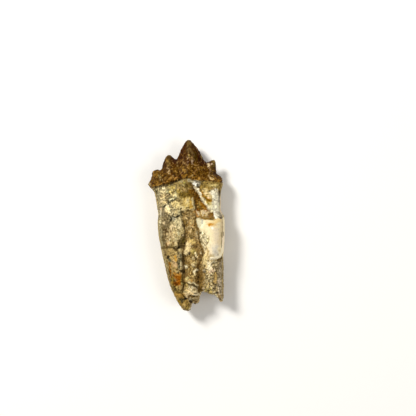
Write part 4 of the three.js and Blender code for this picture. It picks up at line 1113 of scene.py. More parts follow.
# %% Strokes of the upper face
UPPER_STROKES = [
    # Left root, near the crown: cream bark peppered with grey.
    ([(-11, 17), (-11.5, 6)], 7, "#aa986a", 0.95),
    ([(-12.7, 17), (-12.6, 13.6)], 1.9, "#918055", 0.9),
    ([(-6, 19.8), (0.6, 20.6)], 2.6, "#96804a", 0.95),
    ([(-3, 21.8), (-1.2, 20.4)], 1.3, "#c2b684", 0.8, 1),
    ([(-9, 19), (-6.4, 18.4)], 1.2, "#b39f60", 0.8),
    ([(-4.2, 18.4), (-2, 18.4)], 1.1, "#b0965c", 0.8),
    ([(-12.6, 13.4), (-11.2, 14.6), (-11, 11.4)], 1.6, "#bda878", 0.6),
    ([(-12.8, 16.8), (-10.8, 17.8)], 1.2, "#b8a87c", 0.7),
    ([(-7.6, 16.6), (-5.4, 15.2), (-6.4, 14.6)], 1.4, "#d7c68a", 0.85),
    ([(-3.6, 16.6), (-3, 15)], 1.7, "#b9a050", 0.9),
    ([(-4.4, 14.6), (-3.4, 13.6)], 1, "#c6b47a", 0.8),
    ([(-9.8, 9.4), (-8.6, 7.6)], 2.2, "#ecd8a4", 0.95),
    ([(-7.2, 11), (-4.2, 10.4), (-2.4, 9.6)], 2.1, "#e6d090", 0.96),
    ([(-8.2, 8.4), (-6.2, 8.2)], 1.1, "#e2cf98", 0.85),
    ([(-13.4, 8.6), (-12.9, 5.6)], 1, "#c6b48c", 0.8),
    ([(-9.6, 5.2), (-7, 5.7), (-4, 6)], 1.2, "#cdbb8a", 0.85),
    ([(-11.6, 9), (-11.3, 5)], 1.1, "#857858", 0.7),
    ([(-7.6, 7.4), (-3.4, 7.4)], 0.9, "#8f8159", 0.7),
    ([(-11.5, 18), (-9, 12), (-12, 5)], 7, "#4c4733", 0.85, 0.52, 0.17),
    ([(-11.5, 17), (-9, 12), (-12, 5)], 7, "#ecdcac", 0.6, 0.55, 0.2),
    ([(-8.5, 19), (-6.5, 14), (-9.5, 10.5)], 3.2, "#484433", 0.75, 0.55, 0.18),
    ([(-5, 18), (-3, 14)], 4, "#85723b", 0.7, 0.8, 0.25),
    ([(-14.9, 16.8), (-14.3, 10.4), (-14.2, 5)], 1.3, "#938764", 0.8),
    ([(-15.9, 16.8), (-15.2, 15.2)], 0.9, "#5f5a3e", 0.8),
    ([(0.5, 12.4), (0.2, 9.4)], 3, "#ae9450", 0.95),
    ([(2.1, 12.4), (2.2, 9)], 1.1, "#b28e36", 0.9),
    ([(-2, 15.4), (0.6, 15.7), (2.8, 14.6)], 1.9, "#6b561c", 0.95),
    ([(0.6, 19), (2.6, 16.2)], 2.5, "#6a541f", 0.9, 1.4, 0.72),
    ([(-3.4, 6.9), (2.8, 6.8)], 1.9, "#cdb985", 0.92),
    ([(-3, 7.6), (2.6, 7.4)], 1, "#d6c48c", 0.7, 0.7, 0.4),
    ([(0.6, 7.3), (1.5, 7.2)], 0.7, "#5f4f27", 0.9),
    ([(-2.4, 6.5), (-2, 5.4)], 0.8, "#5a4a26", 0.9),
    ([(-0.6, 5.5), (1.2, 5.8)], 0.75, "#6a5830", 0.85),
    ([(2.4, 7.6), (3.4, 6.6)], 0.8, "#6f5524", 0.85),
    ([(4.2, 6.8)], 1, "#b98d4a", 0.85),
    ([(-14.4, 4.4), (-10, 4.2)], 1.3, "#8a7f5e", 0.8, 1.2, 0.6),
    # Left root, below the black crack.
    ([(-10, 3.2), (-10.4, -3), (-11, -8)], 3.6, "#776848", 0.95),
    ([(-11.6, -1.5), (-11.6, -8.4)], 1.2, "#665733", 0.85),
    ([(-9, 3.4), (-8.6, -0.4), (-9.6, -3)], 1.8, "#5f5233", 0.75, (1, 2, 1), 0.45),
    ([(-11, 1)], 0.9, "#cdbb8e", 0.7),
    ([(-14.3, 3.5), (-13.8, -4), (-12.9, -10.2)], 1.9, "#938763", 0.95),
    ([(-13.4, 2.2), (-13.3, 0.4)], 0.9, "#cfc192", 0.8),
    ([(-5.6, 2.8), (-4.2, -1)], 3.2, "#c2b488", 0.95),
    ([(-6.2, 3.4), (-5.6, 2.8)], 1, "#a9a58c", 0.8),
    ([(-7.4, -1.2), (-5.4, -2.6)], 1.8, "#d3bf8c", 0.9),
    ([(-8.4, -5), (-6.4, -9.4)], 3.6, "#b29a6c", 0.95),
    ([(-5.4, -6.4), (-5.2, -9.2)], 1.7, "#c9b581", 0.85),
    ([(-2.8, -2.6), (-2.8, -5)], 2.2, "#c4b17b", 0.9),
    ([(-8.4, -4.4), (-6.4, -9.6)], 3.9, "#75623c", 0.65, 0.55, 0.16),
    ([(-8, -4.4), (-4.6, -9.6)], 3.9, "#dfcd9c", 0.5, 0.55, 0.16),
    ([(-5.6, 3), (-3, -4.6)], 3.4, "#80734c", 0.55, 0.5, 0.15),
    ([(-1, -5.8), (-0.6, -8), (-2.6, -8.4), (-2.2, -10.4)], 1.9, "#5c4a22", 0.9),
    ([(-3.4, -8.6), (-3.6, -10)], 1.2, "#62542f", 0.85),
    ([(-5.6, -11.6), (-4.2, -13)], 1.3, "#5d4d2a", 0.85),
    ([(-7.2, -10.4), (-5.6, -10.8)], 1, "#77673f", 0.8),
    # Left root, lower half: tan with iron stains.
    ([(-10.8, -13.2), (-9.6, -20), (-7.8, -28), (-6, -33)], 3.6, "#8c774a", 0.95),
    ([(-11.2, -13.4), (-8.8, -14)], 1.8, "#78643e", 0.85),
    ([(-7.4, -14.2), (-5.8, -21.8)], 3, "#b1965c", 0.95),
    ([(-6.4, -18), (-5.4, -19.8)], 1.1, "#c6a676", 0.8),
    ([(-2.5, -12.2), (-2.6, -14.6)], 1.2, "#b3a071", 0.85),
    ([(-12.6, -12), (-11.6, -16), (-10.6, -20), (-9.8, -24), (-8.6, -28), (-7.4, -31.4)], 0.9,
      "#9c8e66", 0.7),
    ([(-11.4, -15), (-10.2, -22), (-8.8, -27)], 1.1, "#a79a6c", 0.7, (0.6, 2.6, 0.6), 0.45),
    ([(-9.6, -19), (-8.6, -27)], 1.8, "#64532b", 0.7, (0.6, 2.4, 0.6), 0.22),
    ([(-6.8, -14), (-5.6, -23)], 2.8, "#77633a", 0.6, (0.6, 1.2, 0.6), 0.18),
    ([(-3.4, -14.5), (-3, -20), (-2.7, -24)], 1.5, "#8c8566", 0.85, (0.8, 1.4, 0.8), 0.55),
    ([(-3.4, -15), (-2.8, -24)], 1.7, "#423a25", 0.8, (0.6, 1, 0.6), 0.26),
    ([(-8.2, -18.8), (-8.5, -21), (-7.5, -23.6), (-7.5, -25.6)], 0.9, "#8a5a08", 0.95, (1, 3, 1),
      0.8),
    ([(-7.2, -26.6), (-6.7, -29.2)], 0.9, "#8c721e", 0.8),
    ([(-5.2, -25), (-3, -25), (-3.3, -29), (-5, -29.2)], 1.8, "#ad7620", 0.9),
    ([(-5, -25.3), (-3.4, -25.4), (-3.6, -28.7), (-4.9, -28.8)], 1.25, "#965606", 0.98),
    ([(-5, -25.6), (-4.6, -26.8), (-4, -28.6)], 1, "#7f4201", 0.7, 0.9),
    ([(-5.4, -24.3), (-2.9, -24.4)], 0.6, "#b8883e", 0.8),
    ([(-2.1, -25.4), (-2.1, -28.4)], 0.7, "#a08a3c", 0.8),
    ([(-6.4, -31.6), (-4.4, -34)], 2.4, "#6f5d2e", 0.95),
    ([(-4.2, -31.4), (-2.8, -32.4)], 1.3, "#9a8148", 0.85),
    ([(-5.6, -31.4), (-3, -33.5)], 2.8, "#4d3e1c", 0.7, 0.7, 0.22),
    ([(-2.6, -39), (0.4, -40.6)], 3.4, "#927739", 0.98),
    ([(-1.4, -39), (0.4, -41.4)], 2.6, "#6d5728", 0.65, 0.65, 0.2),
    # Rock between the roots.
    ([(1.4, 4.4), (2.1, -5)], 4, "#957a47", 0.98),
    ([(1.4, 4.4), (2.1, -6)], 3.6, "#5a451c", 0.9, 0.65, 0.3),
    ([(1.8, 3.6), (2.4, -5)], 3.4, "#d0b680", 0.85, 0.6, 0.27),
    ([(1.8, 1.4), (3, 0.6)], 1.2, "#b98d4c", 0.5),
    ([(-1.4, 1.6), (-1.2, 0.6)], 0.9, "#7a6027", 0.8),
    ([(4, -9), (5, -12.6)], 2.1, "#8a6f3e", 0.95),
    ([(4, -9), (5, -12.6)], 2.1, "#5c4520", 0.8, 1, 0.3),
    ([(3.3, -12.6), (3.7, -13.8)], 1.4, "#bba85f", 0.9),
    ([(0.4, -13.2), (-0.3, -14.8)], 0.9, "#ddca98", 0.85),
    ([(1.2, -16.5), (3.6, -24.5)], 4.2, "#745a2a", 0.98),
    ([(1.2, -16), (3.4, -25)], 3.9, "#4c3816", 0.9, 0.6, 0.3),
    # Pale sand grains that are partly painted glints.
    ([(1.2, -16), (3.6, -25)], 3.9, "#c2a76a", 0.85, 0.6, 0.18),
    ([(0.4, -27.5), (2.6, -30), (4.4, -32)], 2.8, "#84693a", 0.95),
    ([(0.6, -29), (4.4, -31.6)], 2.2, "#6a552c", 0.8, (1.6, 0.7, 1), 0.35),
    ([(0, -32.4), (3, -32.8), (5.4, -33.6)], 2.1, "#b6a06c", 0.95),
    ([(0.4, -33.3), (2.6, -33.5), (5.2, -33.7)], 0.45, "#8d7748", 0.8),
    ([(1.4, -35.6), (5.6, -37)], 2, "#63491f", 0.98),
    ([(1, -35.4), (2.6, -37)], 1.4, "#968a6c", 0.75, 1.1),
    ([(-0.4, -34.2), (-0.2, -35.8)], 1.1, "#cab586", 0.85),
    # Seams of the rock.
    ([(-1.2, -12), (-1.5, -17), (-1.2, -24)], 1.2, "#56431f", 0.85, (1.4, 3, 1.4), 0.6),
    ([(-1.5, -25), (-1.6, -31)], 1, "#6f5c30", 0.75, (0.9, 1.4, 0.9), 0.5),
    ([(4.3, 3.6), (4.8, 0), (5.9, -2.4), (6.2, -5)], 1, "#574619", 0.9),
    ([(6.4, -7), (7.6, -12.2), (7.6, -18)], 2, "#866b3c", 0.9),
    ([(6.4, -7), (7.6, -12.2), (7.2, -20)], 1.9, "#5a4420", 0.8, 1.1, 0.3),
    ([(6.1, -19.6), (6.1, -26), (6, -30)], 1.1, "#5a3d14", 0.85, (0.8, 1.2, 0.8), 0.5),
    ([(7.1, -20), (7.5, -26), (7.6, -32.4)], 1.8, "#614513", 0.95),
    ([(7.1, -20), (7.5, -26), (7.6, -32.4)], 1.5, "#5f4519", 0.8, (0.8, 2, 0.8), 0.3),
    ([(6.6, -27), (6.4, -34), (6.6, -38)], 1, "#6d5322", 0.9),
    # Right root, near the crown: tan neck, the flaked wedge and white bark.
    ([(7.4, 19.4), (16, 19.4)], 3.3, "#92783a", 0.98),
    ([(11.6, 20.4), (15.4, 19.6)], 1.5, "#b09858", 0.8),
    ([(8, 21.4), (16, 21.4)], 0.9, "#93793c", 0.6),
    ([(8, 18), (15, 18)], 2.6, "#8a7238", 0.5, (2.2, 0.9, 1), 0.3),
    ([(13.6, 15), (14, 10), (14.8, 5.2)], 3.3, "#efe8cc", 0.98),
    ([(17.4, 12.6), (19.6, 10), (18, 7.4)], 2.8, "#ebe1c6", 0.92),
    ([(11.2, 9.2), (12.2, 6.8)], 1.9, "#e0d6b2", 0.95),
    ([(10.4, 11.6), (11.6, 10.8)], 1.3, "#b3a05a", 0.85),
    ([(14, 14), (14.4, 6)], 2.8, "#b0a68c", 0.6, 0.55, 0.14),
    ([(12.9, 12), (13.2, 9.6)], 0.8, "#bdb698", 0.7),
    ([(16.8, 6), (17.6, 4.6)], 1.3, "#857a60", 0.85),
    ([(16.4, 4), (17.4, 3.9)], 0.7, "#5f563f", 0.8),
    ([(9.3, 16.2), (11.2, 14.4)], 2.1, "#d4bd84", 0.98),
    ([(7.7, 16.6), (8.5, 14.4), (10, 13.2), (11.8, 12.2)], 1, "#9c741e", 0.95),
    ([(4.2, 17), (5.8, 12), (7.4, 8.2), (9.6, 6.4)], 3.2, "#6b4808", 0.98),
    ([(3.4, 18.2), (4, 16), (5.2, 14)], 1.2, "#4c2f04", 0.9),
    ([(4.6, 13), (4.8, 9)], 1.4, "#4d3408", 0.85, 1.5, 0.65),
    ([(6.2, 10), (6.6, 9)], 1, "#97803f", 0.6),
    ([(8, 10.4), (10.6, 6.4)], 0.9, "#8a5a10", 0.75),
    ([(5, 15), (7, 8)], 2.8, "#422a05", 0.8, 0.6, 0.22),
    ([(5, 15), (8, 8)], 2.8, "#9c742e", 0.75, 0.55, 0.2),
    ([(5.6, 6), (8.6, 5.6), (10.4, 5)], 1.7, "#987a40", 0.95),
    ([(4.8, 6.4), (5.6, 5)], 1, "#b07e38", 0.8),
    ([(6, 6), (10, 5)], 1.9, "#e0d2ac", 0.8, 1, 0.3),
    ([(11.4, 5.4), (13.4, 4.2)], 1.5, "#87622a", 0.95),
    # Painted shadow along the step above the plate.
    ([(5.4, 3.6), (10, 3.5), (14.2, 3.1)], 0.8, "#7d6026", 0.9),
    ([(1.4, 22.4), (3.4, 21.6)], 0.9, "#aaa283", 0.8),
    ([(4.6, 21.6), (6.4, 20.6)], 1.2, "#8f8b7b", 0.85),
    # Painted shade along the foot of the enamel.
    ([(7, 22.3), (9, 22.2)], 0.8, "#5e5739", 0.8),
    ([(1.9, 20.8), (2.6, 19.6)], 1, "#4d380f", 0.85),
    # The plate and the mottled bark beside it.
    ([(7.4, -4), (8.6, -8), (9.6, -13)], 2.9, "#d8caa0", 0.98),
    ([(7.4, -4), (8.6, -8), (9.6, -12)], 2.9, "#85734c", 0.8, 0.75, 0.2),
    ([(8.4, -4), (9.4, -8), (10.4, -12)], 2.8, "#f3e5bb", 0.85, 1.1, 0.42),
    ([(6.4, -8.6), (7.4, -11.8)], 1.2, "#8d7346", 0.9),
    ([(8, -12.4), (8.8, -13.8)], 1.3, "#786440", 0.9),
    ([(7.8, 2.4), (7.6, 0.6)], 0.8, "#bdbfab", 0.9),
    ([(6, 2.8), (6.6, -0.6)], 1.3, "#d4ceac", 0.85),
    ([(10.8, 0.6), (13.4, 0.6)], 1.3, "#dcb063", 0.7),
    ([(11.3, 0.2), (12.2, 0.5)], 0.9, "#cb9138", 0.8),
    ([(12.6, 0.8), (13.4, 1.1)], 0.6, "#cf9a44", 0.8),
    ([(18.3, 3), (18.5, -3), (18.2, -10)], 0.6, "#b9a377", 0.6, (0.8, 2.4, 0.8), 0.6),
    ([(13.8, 2.1), (17.4, 2.4)], 1.1, "#e5c682", 0.8),
    ([(11.2, 2), (14, 1.6)], 0.9, "#efd8a0", 0.8),
    ([(14.8, -3), (15.2, -9)], 2, "#ecdabb", 0.8),
    ([(13.8, -11), (14.4, -14.6)], 2, "#dcd4c0", 0.9),
    ([(14, -13.2)], 1.1, "#c9c1b0", 0.85),
    ([(12, -11.5), (12, -15)], 0.8, "#fae6c4", 0.7),
    ([(11, -4), (13.4, -9.6)], 1.6, "#fff0cc", 0.5, (1.6, 2.4, 1), 0.5),
    ([(15.8, 0), (16.4, -9)], 1.2, "#ead3a4", 0.6, (1.2, 2.6, 1), 0.5),
    ([(17.6, 2), (17.7, -8)], 1.1, "#dbc598", 0.85),
    ([(18.6, -1.4), (18.6, -5)], 0.8, "#bfae88", 0.7),
    ([(18.5, -7), (18.3, -12)], 0.7, "#f6e8c6", 0.9),
    ([(9.9, -11.4), (10.4, -16.2)], 1.3, "#dfc997", 0.95),
    ([(12, -17.1), (15.8, -17.2)], 0.7, "#84672c", 0.9),
    # Right root, lower half.
    ([(12, -19), (13.4, -31.5)], 5.6, "#b39c69", 0.98),
    ([(17.5, -18), (17.4, -25), (17.3, -34)], 1.7, "#a69678", 0.95),
    ([(17.2, -22.6), (16.9, -28)], 0.8, "#b6a586", 0.8),
    ([(17.9, -24.4), (17.6, -29)], 0.6, "#8b8066", 0.75),
    ([(16.2, -26), (16, -29.4)], 0.9, "#b2a585", 0.8),
    ([(9.2, -15.4), (9.4, -20)], 1.5, "#cbb27c", 0.95),
    ([(10.8, -16.6), (11.4, -19), (11.8, -22.4)], 1.7, "#cbb481", 0.95),
    ([(13.4, -18), (14.8, -18)], 0.8, "#cfc096", 0.8),
    ([(14.9, -18.4), (15, -23)], 1, "#8d7c58", 0.6),
    ([(14.5, -23.6), (14.4, -28.4)], 0.8, "#b8995a", 0.8, (0.8, 3, 0.8), 0.75),
    ([(12, -23), (14, -33)], 5, "#e6d6aa", 0.8, 0.55, 0.26),
    ([(11, -24), (13.6, -33)], 5, "#4f4126", 0.8, 0.5, 0.22),
    ([(9.2, -21), (9.2, -30)], 2.2, "#7c6636", 0.7, (0.6, 1.6, 0.6), 0.3),
    ([(8, -19.5), (8.2, -29.5)], 1.1, "#7b5f2c", 0.6),
    # Dark holes above the broken end, and black streaks on the spike.
    ([(10.5, -31.4), (15.4, -32.6)], 1.9, "#2f281a", 0.85, (0.6, 0.9, 0.6), 0.24),
    ([(14.8, -24.6), (15.4, -31.6)], 0.7, "#3b3222", 0.75, (0.5, 1.5, 0.5), 0.34),
    ([(15.5, -33.2), (16.2, -36)], 0.6, "#2e281d", 0.85, (0.5, 1.4, 0.5), 0.45),
    ([(17, -18), (16.8, -33)], 1.7, "#cdbda0", 0.75, (0.5, 3.5, 0.5), 0.28),
    ([(16.6, -19), (16.6, -33)], 1.9, "#6f6045", 0.7, (0.5, 2.6, 0.5), 0.2),
    ([(14.8, -30), (15.6, -33.6)], 1.4, "#5f5234", 0.7, (0.6, 1.4, 0.6), 0.4),
    ([(9, -33), (13.6, -34)], 1.3, "#b79f5e", 0.8, 0.9, 0.6),
    ([(15.6, -34.8), (17.6, -37.2)], 2, "#9a8054", 0.95),
    ([(15.6, -34.8), (17.6, -37.2)], 2, "#d0bf98", 0.75, (0.5, 2.2, 0.5), 0.32),
    ([(15.6, -34.8), (17.6, -37.2)], 2, "#6c5836", 0.6, (0.5, 2.2, 0.5), 0.2),
    # The side walls, as far out as they wrap down: long streaks, and the cracks that go round.
    ([(-17.6, 14), (-17.2, -6), (-13.6, -26)], 2.6, "#8a7a52", 0.65, (1.1, 5, 1.1), 0.42),
    ([(-20, 12), (-19.6, -8), (-16, -26)], 2.8, "#c0ae7e", 0.6, (1.4, 6, 1.4), 0.4),
    ([(21.6, 18), (22, 6)], 2.6, "#9c8654", 0.6, (1.1, 4, 1.1), 0.4),
    ([(21.6, -17), (22, -30)], 3, "#8f7d56", 0.65, (1, 5, 1), 0.42),
    ([(-15, 4.6), (-18, 3.4), (-22, 4.4)], 0.6, "#463c22", 0.8),
    ([(-13, -11.4), (-17, -12.4), (-20, -11)], 0.5, "#5c4a28", 0.8),
]
print(len(UPPER_STROKES), "strokes on the upper face")

# %% Strokes of the crown, on both faces alike
LOW_CROWN = [(-14, 23.2), (-8, 25), (-2, 27), (5, 27), (12, 25.4)]
CROWN_STROKES = [
    ([(-9, 34), (-9, 25)], 9, "#371a00", 0.55, (0.6, 2.6, 0.6), 0.28),
    ([(1, 42), (1, 25)], 9, "#371a00", 0.55, (0.6, 2.8, 0.6), 0.28),
    ([(13, 32), (13, 24)], 5, "#371a00", 0.55, (0.6, 2.4, 0.6), 0.28),
    ([(-3.6, 34), (-2.4, 39)], 1.9, "#3d1c00", 0.85),
    ([(5, 39), (6.4, 35), (8.6, 30)], 2.2, "#351500", 0.9),
    ([(4.2, 36), (4.8, 33)], 1, "#4a3806", 0.8),
    ([(3.4, 41), (4, 38)], 0.8, "#574010", 0.8),
    # Painted shade in the notch between the left denticle and the main cusp.
    ([(-6.3, 33.2), (-6.3, 28.8)], 1.1, "#3f1d02", 0.9),
    ([(-7.5, 34.6), (-7.4, 33)], 0.6, "#3b2000", 0.8),
    ([(-11.4, 33), (-11.6, 28)], 1.1, "#472b02", 0.85),
    ([(-17.3, 26.4), (-17.2, 24.6), (-17, 22.4), (-16.2, 20.1)], 0.9, "#2a1000", 0.9),
    ([(-15.9, 24.2), (-15.7, 21)], 0.55, "#33210a", 0.8),
    ([(-14.2, 27.6), (-13.2, 27)], 0.7, "#4a2400", 0.8),
    ([(8.7, 33.2), (9.7, 32.2), (10.8, 32.2)], 0.9, "#280600", 0.85),
    ([(10.3, 31), (9.4, 28)], 1, "#452500", 0.8),
    ([(14.3, 27.4), (14.3, 24.2)], 0.8, "#341400", 0.9),
    ([(1.2, 42.4), (1.3, 38)], 1.7, "#69552c", 0.9),
    ([(1.4, 38), (2.9, 35), (2.9, 32.6)], 1.3, "#6b5530", 0.75, (0.8, 2, 0.8), 0.7),
    ([(-9, 34.8), (-9.2, 28)], 1.4, "#6a5328", 0.9),
    ([(-14.8, 26.4), (-14.2, 23.4)], 1.4, "#5c4820", 0.8),
    ([(13.3, 32.2), (13.9, 29.8)], 1.2, "#6c5826", 0.9),
    ([(12.6, 29), (12.2, 25.4)], 1.2, "#5f4a1c", 0.8),
    (LOW_CROWN, 4.2, "#4d3208", 0.75),
    (LOW_CROWN, 4.4, "#321800", 0.8, 0.5, 0.26),
    (LOW_CROWN, 4.4, "#7c5814", 0.8, 0.5, 0.26),
    ([(-14, 20.2), (-12.5, 20.8), (-10, 21.6), (-8, 22.3), (-6, 23), (-4.9, 23.9)], 0.9, "#64400e",
      0.8, 0.7, 0.6),
    ([(2.4, 23.8), (5.5, 22.9), (8.4, 23.6), (11, 22.8)], 0.9, "#8a6220", 0.85, 0.8, 0.75),
    ([(14.2, 23), (16.6, 21.9)], 0.8, "#93691e", 0.85, 1, 0.8),
    ([(6, 28.2), (5, 27.6), (4.4, 26.6), (4, 25.6)], 0.45, "#8a6436", 0.75),
    ([(1, 28.6), (1.8, 28.2)], 0.5, "#83602c", 0.75),
    ([(-1.6, 29.2), (-1.5, 27.6)], 0.6, "#8c6a24", 0.75),
    ([(-2.4, 24.1), (-1.8, 23.6)], 0.55, "#8f6c28", 0.75),
    ([(-3.2, 28.4), (-3.6, 26.8)], 0.4, "#4b2c02", 0.8),
    ([(-4.4, 25.4), (-5.4, 24.6)], 0.5, "#3d2003", 0.8),
    ([(-8.8, 27.2), (-9.6, 26)], 0.4, "#4b2c0c", 0.8),
    ([(0, 26.4), (0.4, 23)], 1.1, "#45391c", 0.8, 0.7, 0.6),
    ([(-19, 20.8), (-18.6, 20)], 1.1, "#8f7e50", 0.95),
    ([(-16.3, 19)], 0.8, "#8c7238", 0.9),
    # The dark line under the girdle is painted shadow.
    ([(-17.8, 18), (-14, 19.1), (-10, 20.1), (-7, 21.3), (-4.8, 22.3), (-2.4, 23)], 0.7,
      "#1e1103", 0.95),
]
# A wrinkle's crest gets an amber painted highlight and its furrow a nearly black painted shade.
# The girdle's beads are rubbed to a paler amber, and the finest glitter is a painted highlight
# where the polish catches the light.
CREST_HIGHLIGHT_TINT, FURROW_SHADE_TINT = "#86601a", "#2a1100"
GIRDLE_TINT, GLITTER_TINT = "#9c7026", "#cba058"
# Painted glints on the upper face: a path, how far they spread and their colour.
GLINT_SPECKS = (0.5, 0.55)  # how big the specks are that a painted glint breaks into, and their cover
GLINTS = [
    ([(1, 36), (1, 34.9)], 0.5, "#c8a862"), ([(0.5, 33.1), (1.3, 33.8)], 0.65, "#c4a478"),
    ([(0.3, 32.8), (0.8, 31.7)], 0.45, "#8a6c50"), ([(1.6, 34.6), (1.9, 34)], 0.5, "#8f7838"),
    ([(2.4, 33.6), (2.7, 33.5)], 0.5, "#a8824e"), ([(2.9, 32.1), (2.9, 30.7)], 0.5, "#bca080"),
    ([(3, 30.1), (3.4, 29.8)], 0.55, "#b08c60"), ([(-1, 30.7), (0.6, 30.2)], 0.6, "#ab8856"),
    ([(5, 29.8), (5.8, 29.8)], 0.5, "#9d7848"), ([(7.6, 35), (7.6, 33.2)], 0.45, "#b39a54"),
    ([(5.3, 39), (5.6, 38.1)], 0.5, "#83603f"), ([(11, 30.5), (11.1, 29.3)], 0.6, "#ecd4a4"),
    ([(11.4, 30.3), (12.7, 30.6)], 0.5, "#c4ac90"), ([(14, 31.8), (14, 29.6)], 0.7, "#967c46"),
    ([(11.3, 28.7), (12.3, 27.3)], 0.5, "#b3906c"),
    ([(11.1, 24.8), (11.9, 23.8)], 0.55, "#c2a778"),
    ([(11.8, 23.2), (13.1, 22.9)], 0.6, "#e3c486"), ([(11.3, 26.6), (11.7, 25.6)], 0.4, "#8f7048"),
    ([(10.5, 22.1), (10.6, 20.9)], 0.45, "#b38c54"),
    ([(-8.6, 26.8), (-8.8, 25.7)], 0.7, "#c4a878"), ([(-9.4, 28.6), (-8.8, 27.9)], 0.5, "#b3946c"),
    ([(-8.1, 23.4), (-7.1, 23.6)], 0.5, "#ac8448"),
    ([(-12.9, 20.6), (-12, 20.9)], 0.45, "#ac7c34"),
    ([(-14.2, 19.9), (-13.6, 20.2)], 0.5, "#ac8440"),
    ([(-13.6, 22), (-12.1, 22.8)], 0.45, "#9a8056"),
    ([(-13.6, 25.2), (-13.2, 23.8)], 0.6, "#a3905c"),
    ([(-10.7, 21.4), (-9.6, 21.6)], 0.4, "#9c7034"),
    ([(-6.7, 24.1), (-6.5, 25.2)], 0.5, "#a48050"), ([(-2.7, 26.4), (-2.2, 26.7)], 0.5, "#ab844c"),
    ([(-4.6, 31.3), (-4.6, 29.5)], 0.55, "#93794a"),
    ([(-2, 31.3), (-1.2, 30.8)], 0.5, "#937444"), ([(-5.2, 23.6), (-4.6, 24.2)], 0.5, "#ab7a40"),
    ([(-18.9, 20.8), (-18.7, 20.2)], 0.6, "#b39d78"), ([(2.3, 24.4), (3.8, 24.8)], 0.5, "#a48a58"),
]
# These spots are painted glints.
print(len(CROWN_STROKES), "strokes and", len(GLINTS), "worn spots on the crown")

# %% Strokes of the lower face
UNDER_SEAM = along(np.array(UNDER_HOLLOW), np.linspace(0, 1, 30)).tolist()
LOWER_STROKES = [
    ([(-10, 15), (-9, 7)], 6.5, "#c2ac7a", 0.9),
    ([(11, 16), (12, 7)], 6.5, "#cdbb90", 0.9),
    ([(-9, -2), (-7.5, -22)], 6, "#ad9664", 0.85),
    ([(12, -4), (13, -30)], 6.5, "#b7a171", 0.85),
    ([(-10, 14), (-8, 0), (-7, -20)], 6.5, "#e2cf9c", 0.7, 2.4, 0.35),
    ([(11, 15), (12, 0), (13, -26)], 6.5, "#efe0b8", 0.7, 2.6, 0.38),
    ([(-10, 16), (-9, 0), (-7, -26)], 7, "#6a5a36", 0.75, 1.2, 0.28),
    ([(11, 16), (12, 0), (13, -30)], 7, "#75653f", 0.75, 1.2, 0.27),
    ([(-12, -3), (-11, -11)], 2.6, "#7d6d48", 0.8, 2.4, 0.6),
    ([(13, -6), (14, -13)], 3, "#e6d8b4", 0.85),
    ([(-7.5, -12), (-6.5, -18)], 2.2, "#a5650f", 0.85, 2.6, 0.6),
    ([(10, 8), (11.5, 4.8)], 1.8, "#a8741c", 0.8, 2, 0.6),
    (UNDER_HOLLOW, 3.4, "#8b7040", 0.95),
    (UNDER_HOLLOW, 3.2, "#5d4720", 0.75, 1.2, 0.33),
    (UNDER_HOLLOW, 3.2, "#d3bd86", 0.8, 1, 0.25),
    ([(x - 3.2 + 0.7 * math.sin(0.5 * y), y) for x, y in UNDER_SEAM], 1, "#4a3a1a", 0.8, 1.9,
      0.55),
    ([(x + 3.2 + 0.8 * math.sin(0.4 * y + 2), y) for x, y in UNDER_SEAM], 0.9, "#51401f", 0.75,
      1.7, 0.5),
    (UNDER_CRACK, 0.6, "#35290f", 0.85, 2, 0.6),
    ([(-4, -33), (-1, -38)], 3, "#8b713e", 0.85),
]
print(len(LOWER_STROKES), "strokes on the lower face")

# %% [markdown]
# The lower face has the same kinds of marks as the upper one, in fewer and broader strokes. The
# upper face's strokes fade out a little way down the side, so that no seam shows at the rim.

# %% Painting
# The ground of each material, then what lies on the bare break and in the canal.
ROOT_GROUND, ENAMEL_GROUND = "#ab9563", "#432604"
ROCK_GROUND, PLATE_GROUND = "#8a6f40", "#f3e3b8"
BREAK_GROUND, BREAK_DARK, BREAK_PALE, PULP_FILL = "#bfa674", "#6b5628", "#e2d0a0", "#57431f"
DIRT_AND_SHADE = (0.42, 0.36, 0.26)  # what is left of red, green and blue in the deepest hollows, from dirt and painted shade
WEAR_AND_HIGHLIGHT = 0.18  # how much lighter the highest grains are made, as a share, by wear and painted highlight
CROWN_WEAR_AND_HIGHLIGHT = 1.3  # how many times more wear and painted highlight the crown has than the roots
SPARED = 0.85  # the share of the dirt, painted shade, wear and painted highlight that the plate is spared
MARK_REACH, SPOT_REACH = 1.6, 1.5  # how far a mark's colour goes, in widths of its relief

# How strong each layer is.
MARK_STRENGTH, CROWN_SPOT_STRENGTH, GLINT_STRENGTH = 0.9, 0.85, 0.8
CREST_HIGHLIGHT_STRENGTH, LOW_CREST_MORE, GIRDLE_STRENGTH = 0.24, 0.36, 0.6
FURROW_SHADE_STRENGTH, GLITTER_STRENGTH, BREAK_DARK_STRENGTH, FILL_STRENGTH = 0.68, 0.65, 0.8, 0.9

# How far each thing strays, and over what length.
WANDER, PAINT_WARP, FADE_STRAY, FILL_STRAY = (0.7, 3.2), (0.3, 1.3), (3, 3), (0.3, 1.2)
UPPER_WANDER = 0.5  # the share of the wander on the upper face
SLACK = (0.9, 4.5)  # in the wrapping, so that no streak runs dead straight down the side
RAG, FINE_RAG = (1, 1.5), (1.6, 0.8)  # in the edges of strokes and of marks
SNAP_RAG, SKIN_RAG = 0.35, 0.6  # how much of it is in the edges of the break and the crown

